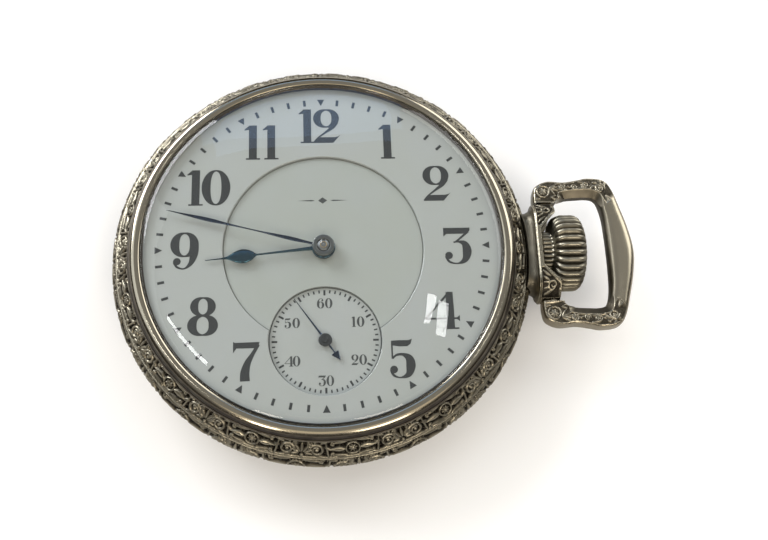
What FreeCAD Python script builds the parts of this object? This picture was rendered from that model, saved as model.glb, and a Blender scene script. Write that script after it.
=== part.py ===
import FreeCAD, Part
import math
import os

V = FreeCAD.Vector
X_AXIS, Y_AXIS, Z_AXIS = V(1, 0, 0), V(0, 1, 0), V(0, 0, 1)
ORIGIN = V(0, 0, 0)

# An open face pocket watch of 16 size, in millimetres.
# Origin: centre of the flat of the case back, on the dial's axis.
# +Z leaves the dial, +X points at the pendant (3 o'clock), +Y at 12 o'clock.

# ---- driving dimensions: case ----
CASE_R = 25.56            # widest point of the centre band
BAND_TOP, BAND_LOW = 6.8, 4.2
BACK_FLAT_R = 14.0        # flat of the back that the watch lies on
BACK_EDGE_R, BACK_EDGE_Z = 23.0, 2.4
BACK_WALL = 0.6
MOVEMENT_BORE_R = 21.6
DIAL_BORE_R = 22.05
COLLAR_TOP_R, COLLAR_LOW_R = 23.0, 23.2
THREAD_GAP = 0.06
SIGHT_R = 21.67           # opening of the bezel over the crystal's edge
CRYSTAL_GAP = 0.05
CRYSTAL_TOP = 11.65
CRYSTAL_UNDER = 10.75

# ---- pendant, crown and bow ----
STEM_Z = 5.4
EAR_HALF, EAR_HIGH = 6.4, 3.0
EAR_X0, EAR_X1 = 25.95, 28.6
RECESS_X = 26.6           # flat seat behind the crown, where the flared recess starts
RECESS_R0, RECESS_R1 = 3.75, 5.25
BOW_AXIS_X = 27.9
BOW_GAP = 0.05
BOW_THICK = 2.3
BOW_STUD_R = 0.9
CROWN_X0, CROWN_X1 = 28.05, 32.3
CROWN_R, CROWN_FLUTES = 4.75, 30
SKIRT_X0, SKIRT_R, SKIRT_FLUTES = 26.75, 2.75, 28
STEM_END = 31.1

# ---- movement: levels, from the back to the dial ----
BRIDGE_LOW, BRIDGE_TOP = 2.05, 3.45
PLATE_LOW, PLATE_TOP = 5.65, 7.15
PLATE_R, BRIDGE_R = 21.5, 20.6
WALL_R = 18.7             # inner side of the bridges' feet
DIAL_UNDER, DIAL_Z = 7.95, 8.9
DIAL_R, CENTRE_SUNK_R, SECONDS_SUNK_R = 21.95, 12.0, 6.6
CENTRE_SUNK_Z, SECONDS_SUNK_Z = 8.55, 8.2

# ---- movement: gearing, as (teeth, module) ----
CENTRE_WHEEL, THIRD_PINION = (80, 0.18), (10, 0.18)
THIRD_WHEEL, FOURTH_PINION = (75, 0.165), (10, 0.165)
FOURTH_WHEEL, ESCAPE_PINION = (80, 0.13), (8, 0.13)
BARREL_TEETH, CENTRE_PINION = (84, 0.2), (12, 0.2)
RATCHET_TEETH, CROWN_TEETH = (48, 0.3), (36, 0.3)
CANNON_PINION, MINUTE_WHEEL = (12, 0.125), (36, 0.125)
MINUTE_PINION, HOUR_WHEEL = (10, 0.12), (40, 0.12)
SETTING_WHEEL = (56, 0.125)
WINDING_TEETH, FACE_TEETH = 15, 32

# ---- movement: places in plan ----
CENTRE = (0.0, 0.0)
SECONDS = (0.0, -11.35)
BARREL = (3.28, 9.02)
THIRD = (4.968, -6.4)
ESCAPE = (-5.3, -13.5)
BALANCE = (-11.0, -5.0)
MINUTE_POST = (3.0, 0.0)
SETTING_POST = (8.75, 0.0)
ESCAPE_TIP_R = 3.5
PALLET_REACH = 4.2        # from the escape wheel's axis to the fork's
CLICK_POST_R, CLICK_ANGLE = 9.0, 150
SETTING_LEVER_POST = (19.3, 4.6)
CLUTCH_LEVER_POST = (14.05, -4.9)
FOOT_ANGLES, FOOT_R = (30, 150, 262), 19.5
CASE_SCREW_ANGLES, CASE_SCREW_R = (172, 235, -14), 20.5
BARREL_BRIDGE_SCREWS = (22, 68, 122)
TRAIN_BRIDGE_SCREWS = (-38, -72, -103)
BRIDGE_SCREW_R = 19.65

# ---- hands: direction at rest, in degrees from +X, and levels ----
HOUR_ANGLE, MINUTE_ANGLE, SECONDS_ANGLE = 186, 165, 125
HOUR_HAND_Z, MINUTE_HAND_Z, SECONDS_HAND_Z = 9.15, 9.5, 8.58


# ---------------------------------------------------------------- helpers
def polar(r, degrees, around=CENTRE):
    a = math.radians(degrees)
    return around[0] + r * math.cos(a), around[1] + r * math.sin(a)


def bearing(a, b):
    """Direction from one axis to another, in degrees."""
    return math.degrees(math.atan2(b[1] - a[1], b[0] - a[0]))


def ring_wire(r, at=CENTRE):
    return Part.Wire([Part.makeCircle(r, V(at[0], at[1], 0))])


def poly_wire(points):
    corners = [V(x, y, 0) for x, y in points]
    return Part.makePolygon(corners + corners[:1])


def plan(outer, holes=()):
    """A flat face from wires at z = 0."""
    return Part.makeFace([outer, *holes], "Part::FaceMakerBullseye")


def lift(flat, z0, z1):
    solid = flat.extrude(V(0, 0, z1 - z0))
    solid.translate(V(0, 0, z0))
    return solid


def slab(outer, z0, z1, holes=()):
    return lift(plan(outer, holes), z0, z1)


def post(r, z0, z1, at=CENTRE):
    return Part.makeCylinder(r, z1 - z0, V(at[0], at[1], z0))


def washer(r_out, r_in, z0, z1, at=CENTRE):
    return slab(ring_wire(r_out, at), z0, z1, [ring_wire(r_in, at)])


def rod(r, x0, x1, y=0.0, z=STEM_Z):
    """A round bar along X."""
    return Part.makeCylinder(r, x1 - x0, V(x0, y, z), X_AXIS)


def block(x0, x1, y0, y1, z0, z1):
    return Part.makeBox(x1 - x0, y1 - y0, z1 - z0, V(x0, y0, z0))


def turned(edges, axis=Z_AXIS, through=ORIGIN):
    """A solid of revolution from a closed chain of edges."""
    return Part.Face(Part.Wire(edges)).revolve(through, axis, 360)


def profile(points):
    """Edges of a closed outline in the XZ plane. A point with 4 values starts an arc:
    its end is the next point and its last two values are a point on the way."""
    edges = []
    for i, p in enumerate(points):
        q = points[(i + 1) % len(points)]
        a, b = V(p[0], 0, p[1]), V(q[0], 0, q[1])
        if len(p) == 4:
            edges.append(Part.Arc(a, V(p[2], 0, p[3]), b).toShape())
        else:
            edges.append(Part.makeLine(a, b))
    return edges


def fused(*shapes):
    return shapes[0].multiFuse(list(shapes[1:])).removeSplitter()


def tooth_wire(gear, at=CENTRE, phase=0.0, wide=0.40, tip=0.8, root=1.15):
    """Outline of a gear. wide is the tooth's width at the pitch circle, in pitches;
    tip and root are the addendum and dedendum, in modules."""
    teeth, module = gear
    pitch_r, step = teeth * module / 2, 360 / teeth
    shape = [
        (pitch_r - root * module, -0.62 * wide),
        (pitch_r - 0.1 * module, -0.5 * wide),
        (pitch_r + tip * module, -0.22 * wide),
        (pitch_r + tip * module, 0.22 * wide),
        (pitch_r - 0.1 * module, 0.5 * wide),
        (pitch_r - root * module, 0.62 * wide),
    ]
    points = [
        polar(r, phase + step * (i + share), at)
        for i in range(teeth)
        for r, share in shape
    ]
    return poly_wire(points)


def meshed(a, gear_a, phase_a, b, gear_b):
    """Phase of gear b, in degrees, that puts its gaps on gear a's teeth."""
    line = bearing(a, b)
    offset = (phase_a - line) * gear_a[0] / 360
    return line + 180 - (offset + 0.5) * 360 / gear_b[0]


def crossings(r_hub, r_rim, arms, arm_width, at, phase=0.0):
    """The openings between a wheel's arms."""
    holes = []
    for i in range(arms):
        start, end = phase + i * 360 / arms, phase + (i + 1) * 360 / arms
        mid = (start + end) / 2
        ends = []
        for r in (r_hub, r_rim):
            half = math.degrees(math.asin(arm_width / 2 / r))
            ends.append([V(*polar(r, a, at), 0) for a in (start + half, mid, end - half)])
        (h0, hm, h1), (q0, qm, q1) = ends
        holes.append(Part.Wire([
            Part.makeLine(h0, q0),
            Part.Arc(q0, qm, q1).toShape(),
            Part.makeLine(q1, h1),
            Part.Arc(h1, hm, h0).toShape(),
        ]))
    return holes


def train_wheel(gear, at, phase, z0, z1, bore, hub, rim, arms=5):
    openings = crossings(hub, rim, arms, 0.7, at, phase)
    return slab(tooth_wire(gear, at, phase), z0, z1, [ring_wire(bore, at), *openings])


def pinion(gear, at, phase, z0, z1):
    return slab(tooth_wire(gear, at, phase, wide=0.36, tip=0.7, root=1.3), z0, z1)


def spiral(at, r0, r1, turns, thick, z0, z1, start=0.0, flat_end=0.0):
    """A coiled ribbon; its last flat_end degrees keep one radius."""
    per_turn = 28
    steps = int(turns * per_turn)
    inner, outer = [], []
    for i in range(steps + 1):
        angle = start + 360 * turns * i / steps
        share = min(1.0, (360 * turns * i / steps) / (360 * turns - flat_end))
        r = r0 + (r1 - r0) * share
        inner.append(polar(r - thick / 2, angle, at))
        outer.append(polar(r + thick / 2, angle, at))
    return slab(poly_wire(outer + inner[::-1]), z0, z1)


def leaf(points, direction, z0, z1, hub_r=0.0, bore=0.0, at=CENTRE):
    """A hand: points (distance, half width) from its hub to its tip, mirrored."""
    side = [V(x, w, 0) for x, w in points]
    other = [V(x, -w, 0) for x, w in points[::-1]]
    curves = []
    for chain in (side, other):
        curve = Part.BSplineCurve()
        curve.interpolate(chain)
        curves.append(curve.toShape())
    close = [Part.makeLine(side[-1], other[0]), Part.makeLine(other[-1], side[0])]
    blade = Part.Face(Part.Wire([curves[0], close[0], curves[1], close[1]]))
    if hub_r:
        blade = fused(blade, plan(ring_wire(hub_r)))
        blade = blade.cut(plan(ring_wire(bore)))
    solid = lift(blade, z0, z1)
    solid.rotate(ORIGIN, Z_AXIS, direction)
    solid.translate(V(at[0], at[1], 0))
    return solid


def screw(at, head_r, head_z0, head_z1, shank_r, shank_end, slot=0.22):
    """A slotted screw whose head faces the back."""
    body = fused(post(head_r, head_z0, head_z1, at), post(shank_r, head_z1, shank_end, at))
    deep = (head_z1 - head_z0) * 0.45
    cut = block(-head_r - 1, head_r + 1, -slot / 2, slot / 2, head_z0 - 1, head_z0 + deep)
    cut.rotate(ORIGIN, Z_AXIS, 17 * (at[0] + at[1]))
    cut.translate(V(at[0], at[1], 0))
    return body.cut(cut)


def group(solids):
    return Part.makeCompound(list(solids))


# ---------------------------------------------------------------- case
def band_profile():
    lip_r, lip_z0, lip_z1 = 21.25, 5.3, 5.62
    return profile([
        (MOVEMENT_BORE_R, 3.05),
        (COLLAR_LOW_R, 3.05),
        (COLLAR_LOW_R, BAND_LOW),
        (25.0, BAND_LOW, 25.5, 4.9),
        (CASE_R, 5.5, 25.36, 6.3),
        (24.85, BAND_TOP),
        (COLLAR_TOP_R, BAND_TOP),
        (COLLAR_TOP_R, 8.5),
        (DIAL_BORE_R, 8.5),
        (DIAL_BORE_R, 7.3),
        (MOVEMENT_BORE_R, 7.3),
        (MOVEMENT_BORE_R, lip_z1),
        (lip_r, lip_z1),
        (lip_r, lip_z0),
        (MOVEMENT_BORE_R, lip_z0),
    ])


def case_centre_band():
    return turned(band_profile()).cut(rod(1.0, 20, 27))


def front_bezel():
    bore = COLLAR_TOP_R + THREAD_GAP
    return turned(profile([
        (bore, 6.9),
        (24.75, 6.9),
        (24.05, 7.85),
        (23.4, 8.5),
        (23.15, 8.7, 22.86, 9.6),
        (22.3, 10.0),
        (SIGHT_R, 9.8),
        (SIGHT_R, 9.5),
        (SIGHT_R - 0.37, 9.5),
        (SIGHT_R - 0.37, 9.05),
        (bore, 9.05),
    ]))


def cap_arc(top_z, r, z, outward=True):
    """An arc about a point on the dial's axis, between its top and a rim."""
    rise = top_z - z
    radius = (r * r + rise * rise) / 2 / rise
    half = math.asin(r / radius) / 2
    top, rim = V(0, 0, top_z), V(r, 0, z)
    mid = V(radius * math.sin(half), 0, top_z - radius * (1 - math.cos(half)))
    return Part.Arc(top, mid, rim).toShape() if outward else Part.Arc(rim, mid, top).toShape()


def crystal():
    edge = SIGHT_R - CRYSTAL_GAP
    low, high = 9.55, 10.15
    return turned([
        cap_arc(CRYSTAL_UNDER, edge, low),
        Part.makeLine(V(edge, 0, low), V(edge, 0, high)),
        cap_arc(CRYSTAL_TOP, edge, high, False),
        Part.makeLine(V(0, 0, CRYSTAL_TOP), V(0, 0, CRYSTAL_UNDER)),
    ])


def case_back():
    """A shallow bowl with a flat middle; its collar goes over the centre band's."""
    run = BACK_EDGE_R - BACK_FLAT_R
    radius = (run * run + BACK_EDGE_Z ** 2) / 2 / BACK_EDGE_Z
    end_r = 22.4

    def curve_z(r, wall):
        return radius - math.sqrt((radius - wall) ** 2 - (r - BACK_FLAT_R) ** 2)

    mid_r = (BACK_FLAT_R + BACK_EDGE_R) / 2
    bore = COLLAR_LOW_R + THREAD_GAP
    return turned(profile([
        (0, 0),
        (BACK_FLAT_R, 0, mid_r, curve_z(mid_r, 0)),
        (BACK_EDGE_R, BACK_EDGE_Z, 24.15, 3.2),
        (24.9, 4.1),
        (bore, 4.1),
        (bore, 2.97),
        (end_r, curve_z(end_r, BACK_WALL), mid_r, curve_z(mid_r, BACK_WALL)),
        (BACK_FLAT_R, BACK_WALL),
        (0, BACK_WALL),
    ]))


def oval_wire(x, half_y, half_z):
    """A rounded oval across the stem's axis."""
    corner = half_z * 0.96
    y, z = half_y - corner, half_z - corner
    arcs = []
    middles = [(1, 1), (-1, 1), (-1, -1), (1, -1)]
    points = []
    for sy, sz in middles:
        first = V(x, sy * half_y, STEM_Z + sz * z)
        last = V(x, sy * y, STEM_Z + sz * half_z)
        mid = V(x, sy * (y + corner * 0.70711), STEM_Z + sz * (z + corner * 0.70711))
        if sy * sz < 0:
            first, last = last, first
        points.append((first, mid, last))
    for i, (first, mid, last) in enumerate(points):
        arcs.append(Part.Arc(first, mid, last).toShape())
        arcs.append(Part.makeLine(last, points[(i + 1) % 4][0]))
    return Part.Wire(arcs)


def pendant():
    """A flared neck and two ears, hollowed by a cone in which the crown's back sits."""
    neck = Part.makeLoft([
        oval_wire(24.2, 5.3, 2.15),
        oval_wire(25.4, 5.35, 2.2),
        oval_wire(EAR_X0, 5.9, 2.65),
    ], True, False)
    lip = Part.Face(oval_wire(EAR_X0, EAR_HALF - 0.2, EAR_HIGH - 0.1)).extrude(V(0.2, 0, 0))
    ears_from = EAR_X0 + 0.2
    ears = Part.Face(oval_wire(ears_from, EAR_HALF, EAR_HIGH)).extrude(V(EAR_X1 - ears_from, 0, 0))
    seat = turned(band_profile())
    recess = Part.makeCone(RECESS_R0, RECESS_R1, EAR_X1 - RECESS_X, V(RECESS_X, 0, STEM_Z), X_AXIS)
    stud_holes = [
        Part.makeCylinder(BOW_STUD_R + BOW_GAP, 2.0, V(BOW_AXIS_X, side * 5.0, STEM_Z), V(0, side, 0))
        for side in (1, -1)
    ]
    solid = fused(neck, lip, ears)
    solid = solid.cut(post(25.0, 0, 12)).cut(seat)
    return solid.cut(fused(rod(1.4, 23, 31), recess, *stud_holes))


def pendant_sleeve():
    return rod(1.4, 25.7, RECESS_X).cut(rod(0.9, 25, 29))


def bow():
    """A flat-sided stirrup with softened edges; a stud on each foot turns in an ear."""
    inner_y = EAR_HALF + BOW_GAP
    outside = [(26.9, 9.15), (28.3, 9.66), (30.5, 9.45), (33.6, 9.9), (35.6, 9.5), (36.6, 8.3),
               (37.5, 5.5), (38.25, 2.9), (38.6, 0)]
    inside = [(35.2, 0), (35.17, 2.6), (35.0, 5.2), (34.5, 6.8), (33.2, 7.36), (31.2, 7.25),
              (29.9, 7.05), (29.3, inner_y)]
    mirror = [(x, -y) for x, y in outside[-2::-1]]
    outer = Part.BSplineCurve()
    outer.interpolate([V(x, y, 0) for x, y in outside + mirror])
    mirror = [(x, -y) for x, y in inside[:0:-1]]
    inner = Part.BSplineCurve()
    inner.interpolate([V(x, y, 0) for x, y in mirror + inside])

    def foot(side):
        heel = [(26.9, side * 9.15), (26.45, side * 8.3), (26.45, side * inner_y),
                (29.3, side * inner_y)]
        return [Part.makeLine(V(*a, 0), V(*b, 0)) for a, b in zip(heel, heel[1:])]

    edges = Part.__sortEdges__([outer.toShape(), inner.toShape(), *foot(1), *foot(-1)])
    low, high = STEM_Z - BOW_THICK / 2, STEM_Z + BOW_THICK / 2
    body = lift(Part.Face(Part.Wire(edges)), low, high)
    long_edges = [e for e in body.Edges if e.Length > 15]
    body = body.makeFillet(0.75, long_edges)
    studs = [
        Part.makeCylinder(BOW_STUD_R, 1.5, V(BOW_AXIS_X, side * 5.3, STEM_Z), V(0, side, 0))
        for side in (1, -1)
    ]
    return fused(body, *studs)


def fluted_disc(r, flutes, depth, x0, x1):
    """A round bar along X with rounded ribs."""
    arcs = []
    step = 360 / flutes
    for i in range(flutes):
        a, m, b = (polar(rr, step * (i + k)) for rr, k in ((r - depth, 0), (r, 0.5), (r - depth, 1)))
        arcs.append(Part.Arc(*(V(x0, y, STEM_Z + z) for y, z in (a, m, b))).toShape())
    return Part.Face(Part.Wire(arcs)).extrude(V(x1 - x0, 0, 0))


def crown():
    """A barrel of rounded ribs with a domed end, and a ribbed skirt at its back."""
    ribs = fluted_disc(CROWN_R, CROWN_FLUTES, 0.28, CROWN_X0, CROWN_X1)

    def at(x, r):
        return V(x, 0, STEM_Z + r)

    dome = turned([
        Part.makeLine(at(CROWN_X0, 0), at(CROWN_X0, 3.5)),
        Part.Arc(at(CROWN_X0, 3.5), at(28.4, 4.4), at(29.2, CROWN_R)).toShape(),
        Part.makeLine(at(29.2, CROWN_R), at(30.7, CROWN_R)),
        Part.Arc(at(30.7, CROWN_R), at(31.8, 3.65), at(CROWN_X1, 1.6)).toShape(),
        Part.makeLine(at(CROWN_X1, 1.6), at(CROWN_X1, 0)),
        Part.makeLine(at(CROWN_X1, 0), at(CROWN_X0, 0)),
    ], X_AXIS, V(0, 0, STEM_Z))
    skirt = fluted_disc(SKIRT_R, SKIRT_FLUTES, 0.18, SKIRT_X0, CROWN_X0 + 0.5)
    return fused(ribs.common(dome), skirt).cut(rod(0.72, SKIRT_X0 - 1, STEM_END + 0.1))


# ---------------------------------------------------------------- winding and setting
def sectors(x0, x1, r_in, r_out, count, share, shift):
    """Face teeth around the stem's axis."""
    solids = []
    tube = rod(r_out, x0, x1).cut(rod(r_in, x0 - 1, x1 + 1))
    for i in range(count):
        half = 180 / count * share
        mid = 360 / count * (i + shift)
        tip = [(0, 0)] + [polar(r_out * 2, mid + s * half) for s in (-1, 1)]
        corners = [V(x0, y, STEM_Z + z) for y, z in tip]
        wedge = Part.Face(Part.makePolygon(corners + corners[:1])).extrude(V(x1 - x0, 0, 0))
        solids.append(tube.common(wedge))
    return solids


def winding_stem():
    square = block(12.6, 16.15, -0.45, 0.45, STEM_Z - 0.45, STEM_Z + 0.45)
    shaft = fused(rod(0.35, 11.0, 12.6), square, rod(0.66, 16.15, 18.45), rod(0.45, 18.45, 19.15),
                  rod(0.66, 19.15, 25.5), rod(0.72, 25.5, STEM_END))
    return shaft


def winding_pinion():
    tip, root = 2.45, 2.05
    step = 360 / WINDING_TEETH
    corners = []
    for i in range(WINDING_TEETH):
        for r, share in ((root, -0.3), (tip, -0.13), (tip, 0.13), (root, 0.3)):
            y, z = polar(r, -90 + step * (i + 0.5 + share))
            corners.append(V(16.2, y, STEM_Z + z))
    body = Part.Face(Part.makePolygon(corners + corners[:1])).extrude(V(1.2, 0, 0))
    body = fused(body, *sectors(15.95, 16.2, 0.95, 1.8, 8, 0.9, 0))
    return body.cut(rod(0.71, 15, 18))


def clutch_wheel():
    body = fused(rod(1.9, 13.3, 14.2), rod(1.3, 14.2, 14.75), rod(1.9, 14.75, 15.68))
    body = fused(body, *sectors(15.68, 15.93, 0.95, 1.8, 8, 0.8, 0.5))
    notches = sectors(13.2, 13.5, 1.3, 2.2, 16, 0.5, 0)
    body = body.cut(fused(*notches))
    return body.cut(block(13, 16.2, -0.48, 0.48, STEM_Z - 0.48, STEM_Z + 0.48))


def lever(points, half, z0, z1):
    """A bar with round ends along a few points."""
    parts = []
    for a, b in zip(points, points[1:]):
        d = math.hypot(b[0] - a[0], b[1] - a[1])
        bar = block(0, d, -half, half, z0, z1)
        bar.rotate(ORIGIN, Z_AXIS, bearing(a, b))
        bar.translate(V(a[0], a[1], 0))
        parts.append(bar)
    parts += [post(half, z0, z1, p) for p in points]
    return fused(*parts)


LEVER_Z0, LEVER_Z1 = 7.35, 7.65


def setting_lever():
    arm = lever([SETTING_LEVER_POST, (19.9, 2.4), (18.8, 0)], 0.55, LEVER_Z0, LEVER_Z1)
    boss = fused(arm, post(0.95, LEVER_Z0, LEVER_Z1, SETTING_LEVER_POST),
                 post(0.25, 5.93, LEVER_Z0, (18.8, 0)))
    return boss.cut(post(0.45, 7, 8, SETTING_LEVER_POST))


def clutch_lever():
    arm = lever([CLUTCH_LEVER_POST, (15.1, -2.9), (14.475, 0)], 0.5, LEVER_Z0, LEVER_Z1)
    tab = post(0.2, 6.78, LEVER_Z0, (14.475, 0))
    boss = fused(arm, post(0.9, LEVER_Z0, LEVER_Z1, CLUTCH_LEVER_POST), tab)
    return boss.cut(post(0.45, 7, 8, CLUTCH_LEVER_POST))


CROWN_WHEEL_AT = (BARREL[0] + math.sqrt(12.6 ** 2 - BARREL[1] ** 2), 0.0)
RATCHET_PHASE = meshed(CROWN_WHEEL_AT, CROWN_TEETH, 0.0, BARREL, RATCHET_TEETH)


def crown_wheel():
    disc = slab(tooth_wire(CROWN_TEETH, CROWN_WHEEL_AT), 2.3, 2.75, [ring_wire(1.3, CROWN_WHEEL_AT)])
    teeth = []
    for i in range(FACE_TEETH):
        tooth = block(4.1, 5.0, -0.17, 0.17, 2.75, 3.18)
        tooth.rotate(ORIGIN, Z_AXIS, 360 / FACE_TEETH * i)
        tooth.translate(V(*CROWN_WHEEL_AT, 0))
        teeth.append(tooth)
    return fused(disc, *teeth)


def ratchet_wheel():
    square = poly_wire([polar(0.95, 45 + 90 * i, BARREL) for i in range(4)])
    return slab(tooth_wire(RATCHET_TEETH, BARREL, RATCHET_PHASE), 2.3, 2.8, [square])


CLICK_AT = polar(CLICK_POST_R, CLICK_ANGLE, BARREL)


def click():
    """Its beak stands at a gap between two ratchet teeth, just clear of their tips."""
    gap = RATCHET_PHASE + 7.5 * round((CLICK_ANGLE - 14 - RATCHET_PHASE) / 7.5 - 0.5) + 3.75
    beak = polar(7.52, gap, BARREL)
    side = polar(8.3, gap + 4, BARREL)
    below = polar(8.0, gap - 5, BARREL)
    nose = slab(poly_wire([beak, side, polar(9.6, gap + 9, BARREL), polar(9.3, gap - 2, BARREL), below]),
                2.32, 2.78)
    body = post(1.05, 2.32, 2.78, CLICK_AT)
    web = lever([CLICK_AT, polar(8.8, gap + 4, BARREL)], 0.55, 2.32, 2.78)
    return fused(body, web, nose).cut(post(0.45, 2, 3, CLICK_AT))


def click_spring():
    """A bent wire that leans on the click's outer side."""
    outer = [polar(r, a, BARREL) for r, a in ((10.6, 140), (10.9, 128), (11.2, 112))]
    return lever(outer, 0.16, 2.35, 2.7)


# ---------------------------------------------------------------- barrel and train
CENTRE_PINION_PHASE = 0.0
BARREL_PHASE = meshed(CENTRE, CENTRE_PINION, CENTRE_PINION_PHASE, BARREL, BARREL_TEETH)
CENTRE_WHEEL_PHASE = 0.0
THIRD_PINION_PHASE = meshed(CENTRE, CENTRE_WHEEL, CENTRE_WHEEL_PHASE, THIRD, THIRD_PINION)
THIRD_WHEEL_PHASE = 0.0
FOURTH_PINION_PHASE = meshed(THIRD, THIRD_WHEEL, THIRD_WHEEL_PHASE, SECONDS, FOURTH_PINION)
FOURTH_WHEEL_PHASE = 0.0
ESCAPE_PINION_PHASE = meshed(SECONDS, FOURTH_WHEEL, FOURTH_WHEEL_PHASE, ESCAPE, ESCAPE_PINION)


def mainspring_barrel():
    floor = slab(tooth_wire(BARREL_TEETH, BARREL, BARREL_PHASE), 4.3, 4.6, [ring_wire(0.78, BARREL)])
    wall = washer(8.0, 7.6, 4.6, 6.3, BARREL)
    return fused(floor, wall)


def barrel_cover():
    return washer(7.58, 0.78, 6.05, 6.3, BARREL)


def barrel_arbor():
    square = slab(poly_wire([polar(0.93, 45 + 90 * i, BARREL) for i in range(4)]), 2.32, 2.9)
    return fused(square, post(0.72, 2.9, 6.35, BARREL), post(1.85, 4.66, 5.99, BARREL),
                 post(0.5, 6.35, 7.0, BARREL)).cut(post(0.3, 2, 2.88, BARREL))


def mainspring():
    return spiral(BARREL, 2.15, 7.35, 9, 0.24, 4.7, 5.95)


def centre_wheel():
    wheel = train_wheel(CENTRE_WHEEL, CENTRE, CENTRE_WHEEL_PHASE, 3.85, 4.1, 0.6, 1.5, 6.5)
    arbor = fused(post(0.3, 2.6, 3.65), post(0.6, 3.65, 4.2), post(0.4, 4.2, 10.05),
                  pinion(CENTRE_PINION, CENTRE, CENTRE_PINION_PHASE, 4.2, 5.55))
    return group([wheel, arbor])


def third_wheel():
    wheel = train_wheel(THIRD_WHEEL, THIRD, THIRD_WHEEL_PHASE, 4.7, 4.9, 0.4, 1.2, 5.5)
    arbor = fused(post(0.15, 2.9, 3.6, THIRD), post(0.4, 3.6, 5.45, THIRD), post(0.15, 5.45, 6.2, THIRD),
                  pinion(THIRD_PINION, THIRD, THIRD_PINION_PHASE, 3.7, 4.3))
    return group([wheel, arbor])


def fourth_wheel():
    wheel = train_wheel(FOURTH_WHEEL, SECONDS, FOURTH_WHEEL_PHASE, 5.2, 5.4, 0.35, 1.1, 4.6)
    arbor = fused(post(0.15, 2.9, 3.6, SECONDS), post(0.35, 3.6, 5.5, SECONDS),
                  post(0.2, 5.5, 8.85, SECONDS),
                  pinion(FOURTH_PINION, SECONDS, FOURTH_PINION_PHASE, 4.5, 5.1))
    return group([wheel, arbor])


def escape_wheel():
    """Fifteen club teeth that lean into the turn."""
    teeth = 15
    points = []
    for i in range(teeth):
        for r, share in ((2.75, 0.0), (3.42, 0.36), (ESCAPE_TIP_R, 0.40), (3.38, 0.50), (2.75, 0.22)):
            points.append(polar(r, 360 / teeth * (i + share), ESCAPE))
    openings = crossings(0.9, 2.3, 4, 0.5, ESCAPE)
    wheel = slab(poly_wire(points), 4.45, 4.65, [ring_wire(0.25, ESCAPE), *openings])
    arbor = fused(post(0.12, 2.9, 3.7, ESCAPE), post(0.25, 3.7, 5.55, ESCAPE),
                  post(0.12, 5.55, 6.2, ESCAPE),
                  pinion(ESCAPE_PINION, ESCAPE, ESCAPE_PINION_PHASE, 5.08, 5.5))
    return group([wheel, arbor])


PALLET_LINE = bearing(ESCAPE, BALANCE)
PALLET_AT = polar(PALLET_REACH, PALLET_LINE, ESCAPE)


def pallet_fork():
    to_balance = math.hypot(BALANCE[0] - PALLET_AT[0], BALANCE[1] - PALLET_AT[1])
    notch_end = to_balance - 1.85

    def arc_points(r, half):
        return [V(*polar(r, PALLET_LINE + a, ESCAPE), 0) for a in (-half, 0, half)]

    inner, outer = arc_points(3.86, 36), arc_points(4.55, 33)
    anchor = plan(Part.Wire([
        Part.Arc(*inner).toShape(),
        Part.makeLine(inner[2], outer[2]),
        Part.Arc(*outer[::-1]).toShape(),
        Part.makeLine(outer[0], inner[0]),
    ]))
    outline = [(0, 0.3), (notch_end - 1.1, 0.22), (notch_end - 0.7, 0.5), (notch_end, 0.62),
               (notch_end - 0.1, 0.32), (notch_end - 0.55, 0.24)]
    corners = outline + [(x, -y) for x, y in outline[::-1]]
    stem = plan(poly_wire(corners))
    stem.rotate(ORIGIN, Z_AXIS, PALLET_LINE)
    stem.translate(V(*PALLET_AT, 0))
    body = lift(anchor.fuse(stem).removeSplitter(), 4.42, 4.62)
    return fused(body, post(0.22, 4.2, 5.4, PALLET_AT), post(0.12, 3.75, 6.2, PALLET_AT))


def pallet_jewels():
    jewels = []
    for angle in (-30, 30):
        jewel = block(3.74, 4.3, -0.22, 0.22, 4.62, 4.82)
        jewel.rotate(ORIGIN, Z_AXIS, PALLET_LINE + angle)
        jewel.translate(V(*ESCAPE, 0))
        jewels.append(jewel)
    return group(jewels)


BALANCE_RIM_R = 7.7


def balance_wheel():
    """A cut bimetallic rim on two arms."""
    rim = plan(ring_wire(BALANCE_RIM_R, BALANCE), [ring_wire(6.9, BALANCE)])
    bar = plan(poly_wire([(-7.2, -0.5), (7.2, -0.5), (7.2, 0.5), (-7.2, 0.5)]))
    bar = bar.fuse(plan(ring_wire(1.3))).removeSplitter()
    cuts = [plan(poly_wire([(6.5, 0.8), (8.5, 0.8), (8.5, 1.15), (6.5, 1.15)]))]
    cuts.append(cuts[0].copy())
    cuts[1].rotate(ORIGIN, Z_AXIS, 180)
    for flat in (bar, *cuts):
        flat.translate(V(*BALANCE, 0))
    solid = fused(lift(rim, 2.8, 3.4), lift(bar, 3.0, 3.25))
    for cut in cuts:
        solid = solid.cut(lift(cut, 2, 4))
    return solid.cut(post(0.42, 2, 4, BALANCE))


def balance_screws():
    """Timing screws around the rim, in pairs across the wheel."""
    screws = []
    for angle in (0, 24, 44, 62, 82, 104, 128, 150):
        for turn in (0, 180):
            direction = math.radians(angle + turn)
            heading = V(math.cos(direction), math.sin(direction), 0)
            x, y = polar(BALANCE_RIM_R, angle + turn, BALANCE)
            screws.append(Part.makeCylinder(0.29, 0.6, V(x, y, 3.1), heading))
    return group(screws)


def balance_staff():
    roller = fused(post(1.7, 3.72, 3.9, BALANCE), post(0.75, 3.9, 4.15, BALANCE))
    return fused(post(0.12, 2.12, 2.5, BALANCE), post(0.4, 2.5, 4.9, BALANCE),
                 post(0.75, 2.5, 2.78, BALANCE), post(0.75, 3.27, 3.5, BALANCE),
                 post(0.12, 4.9, 6.1, BALANCE), roller)


ROLLER_JEWEL_R = 1.4


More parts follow.
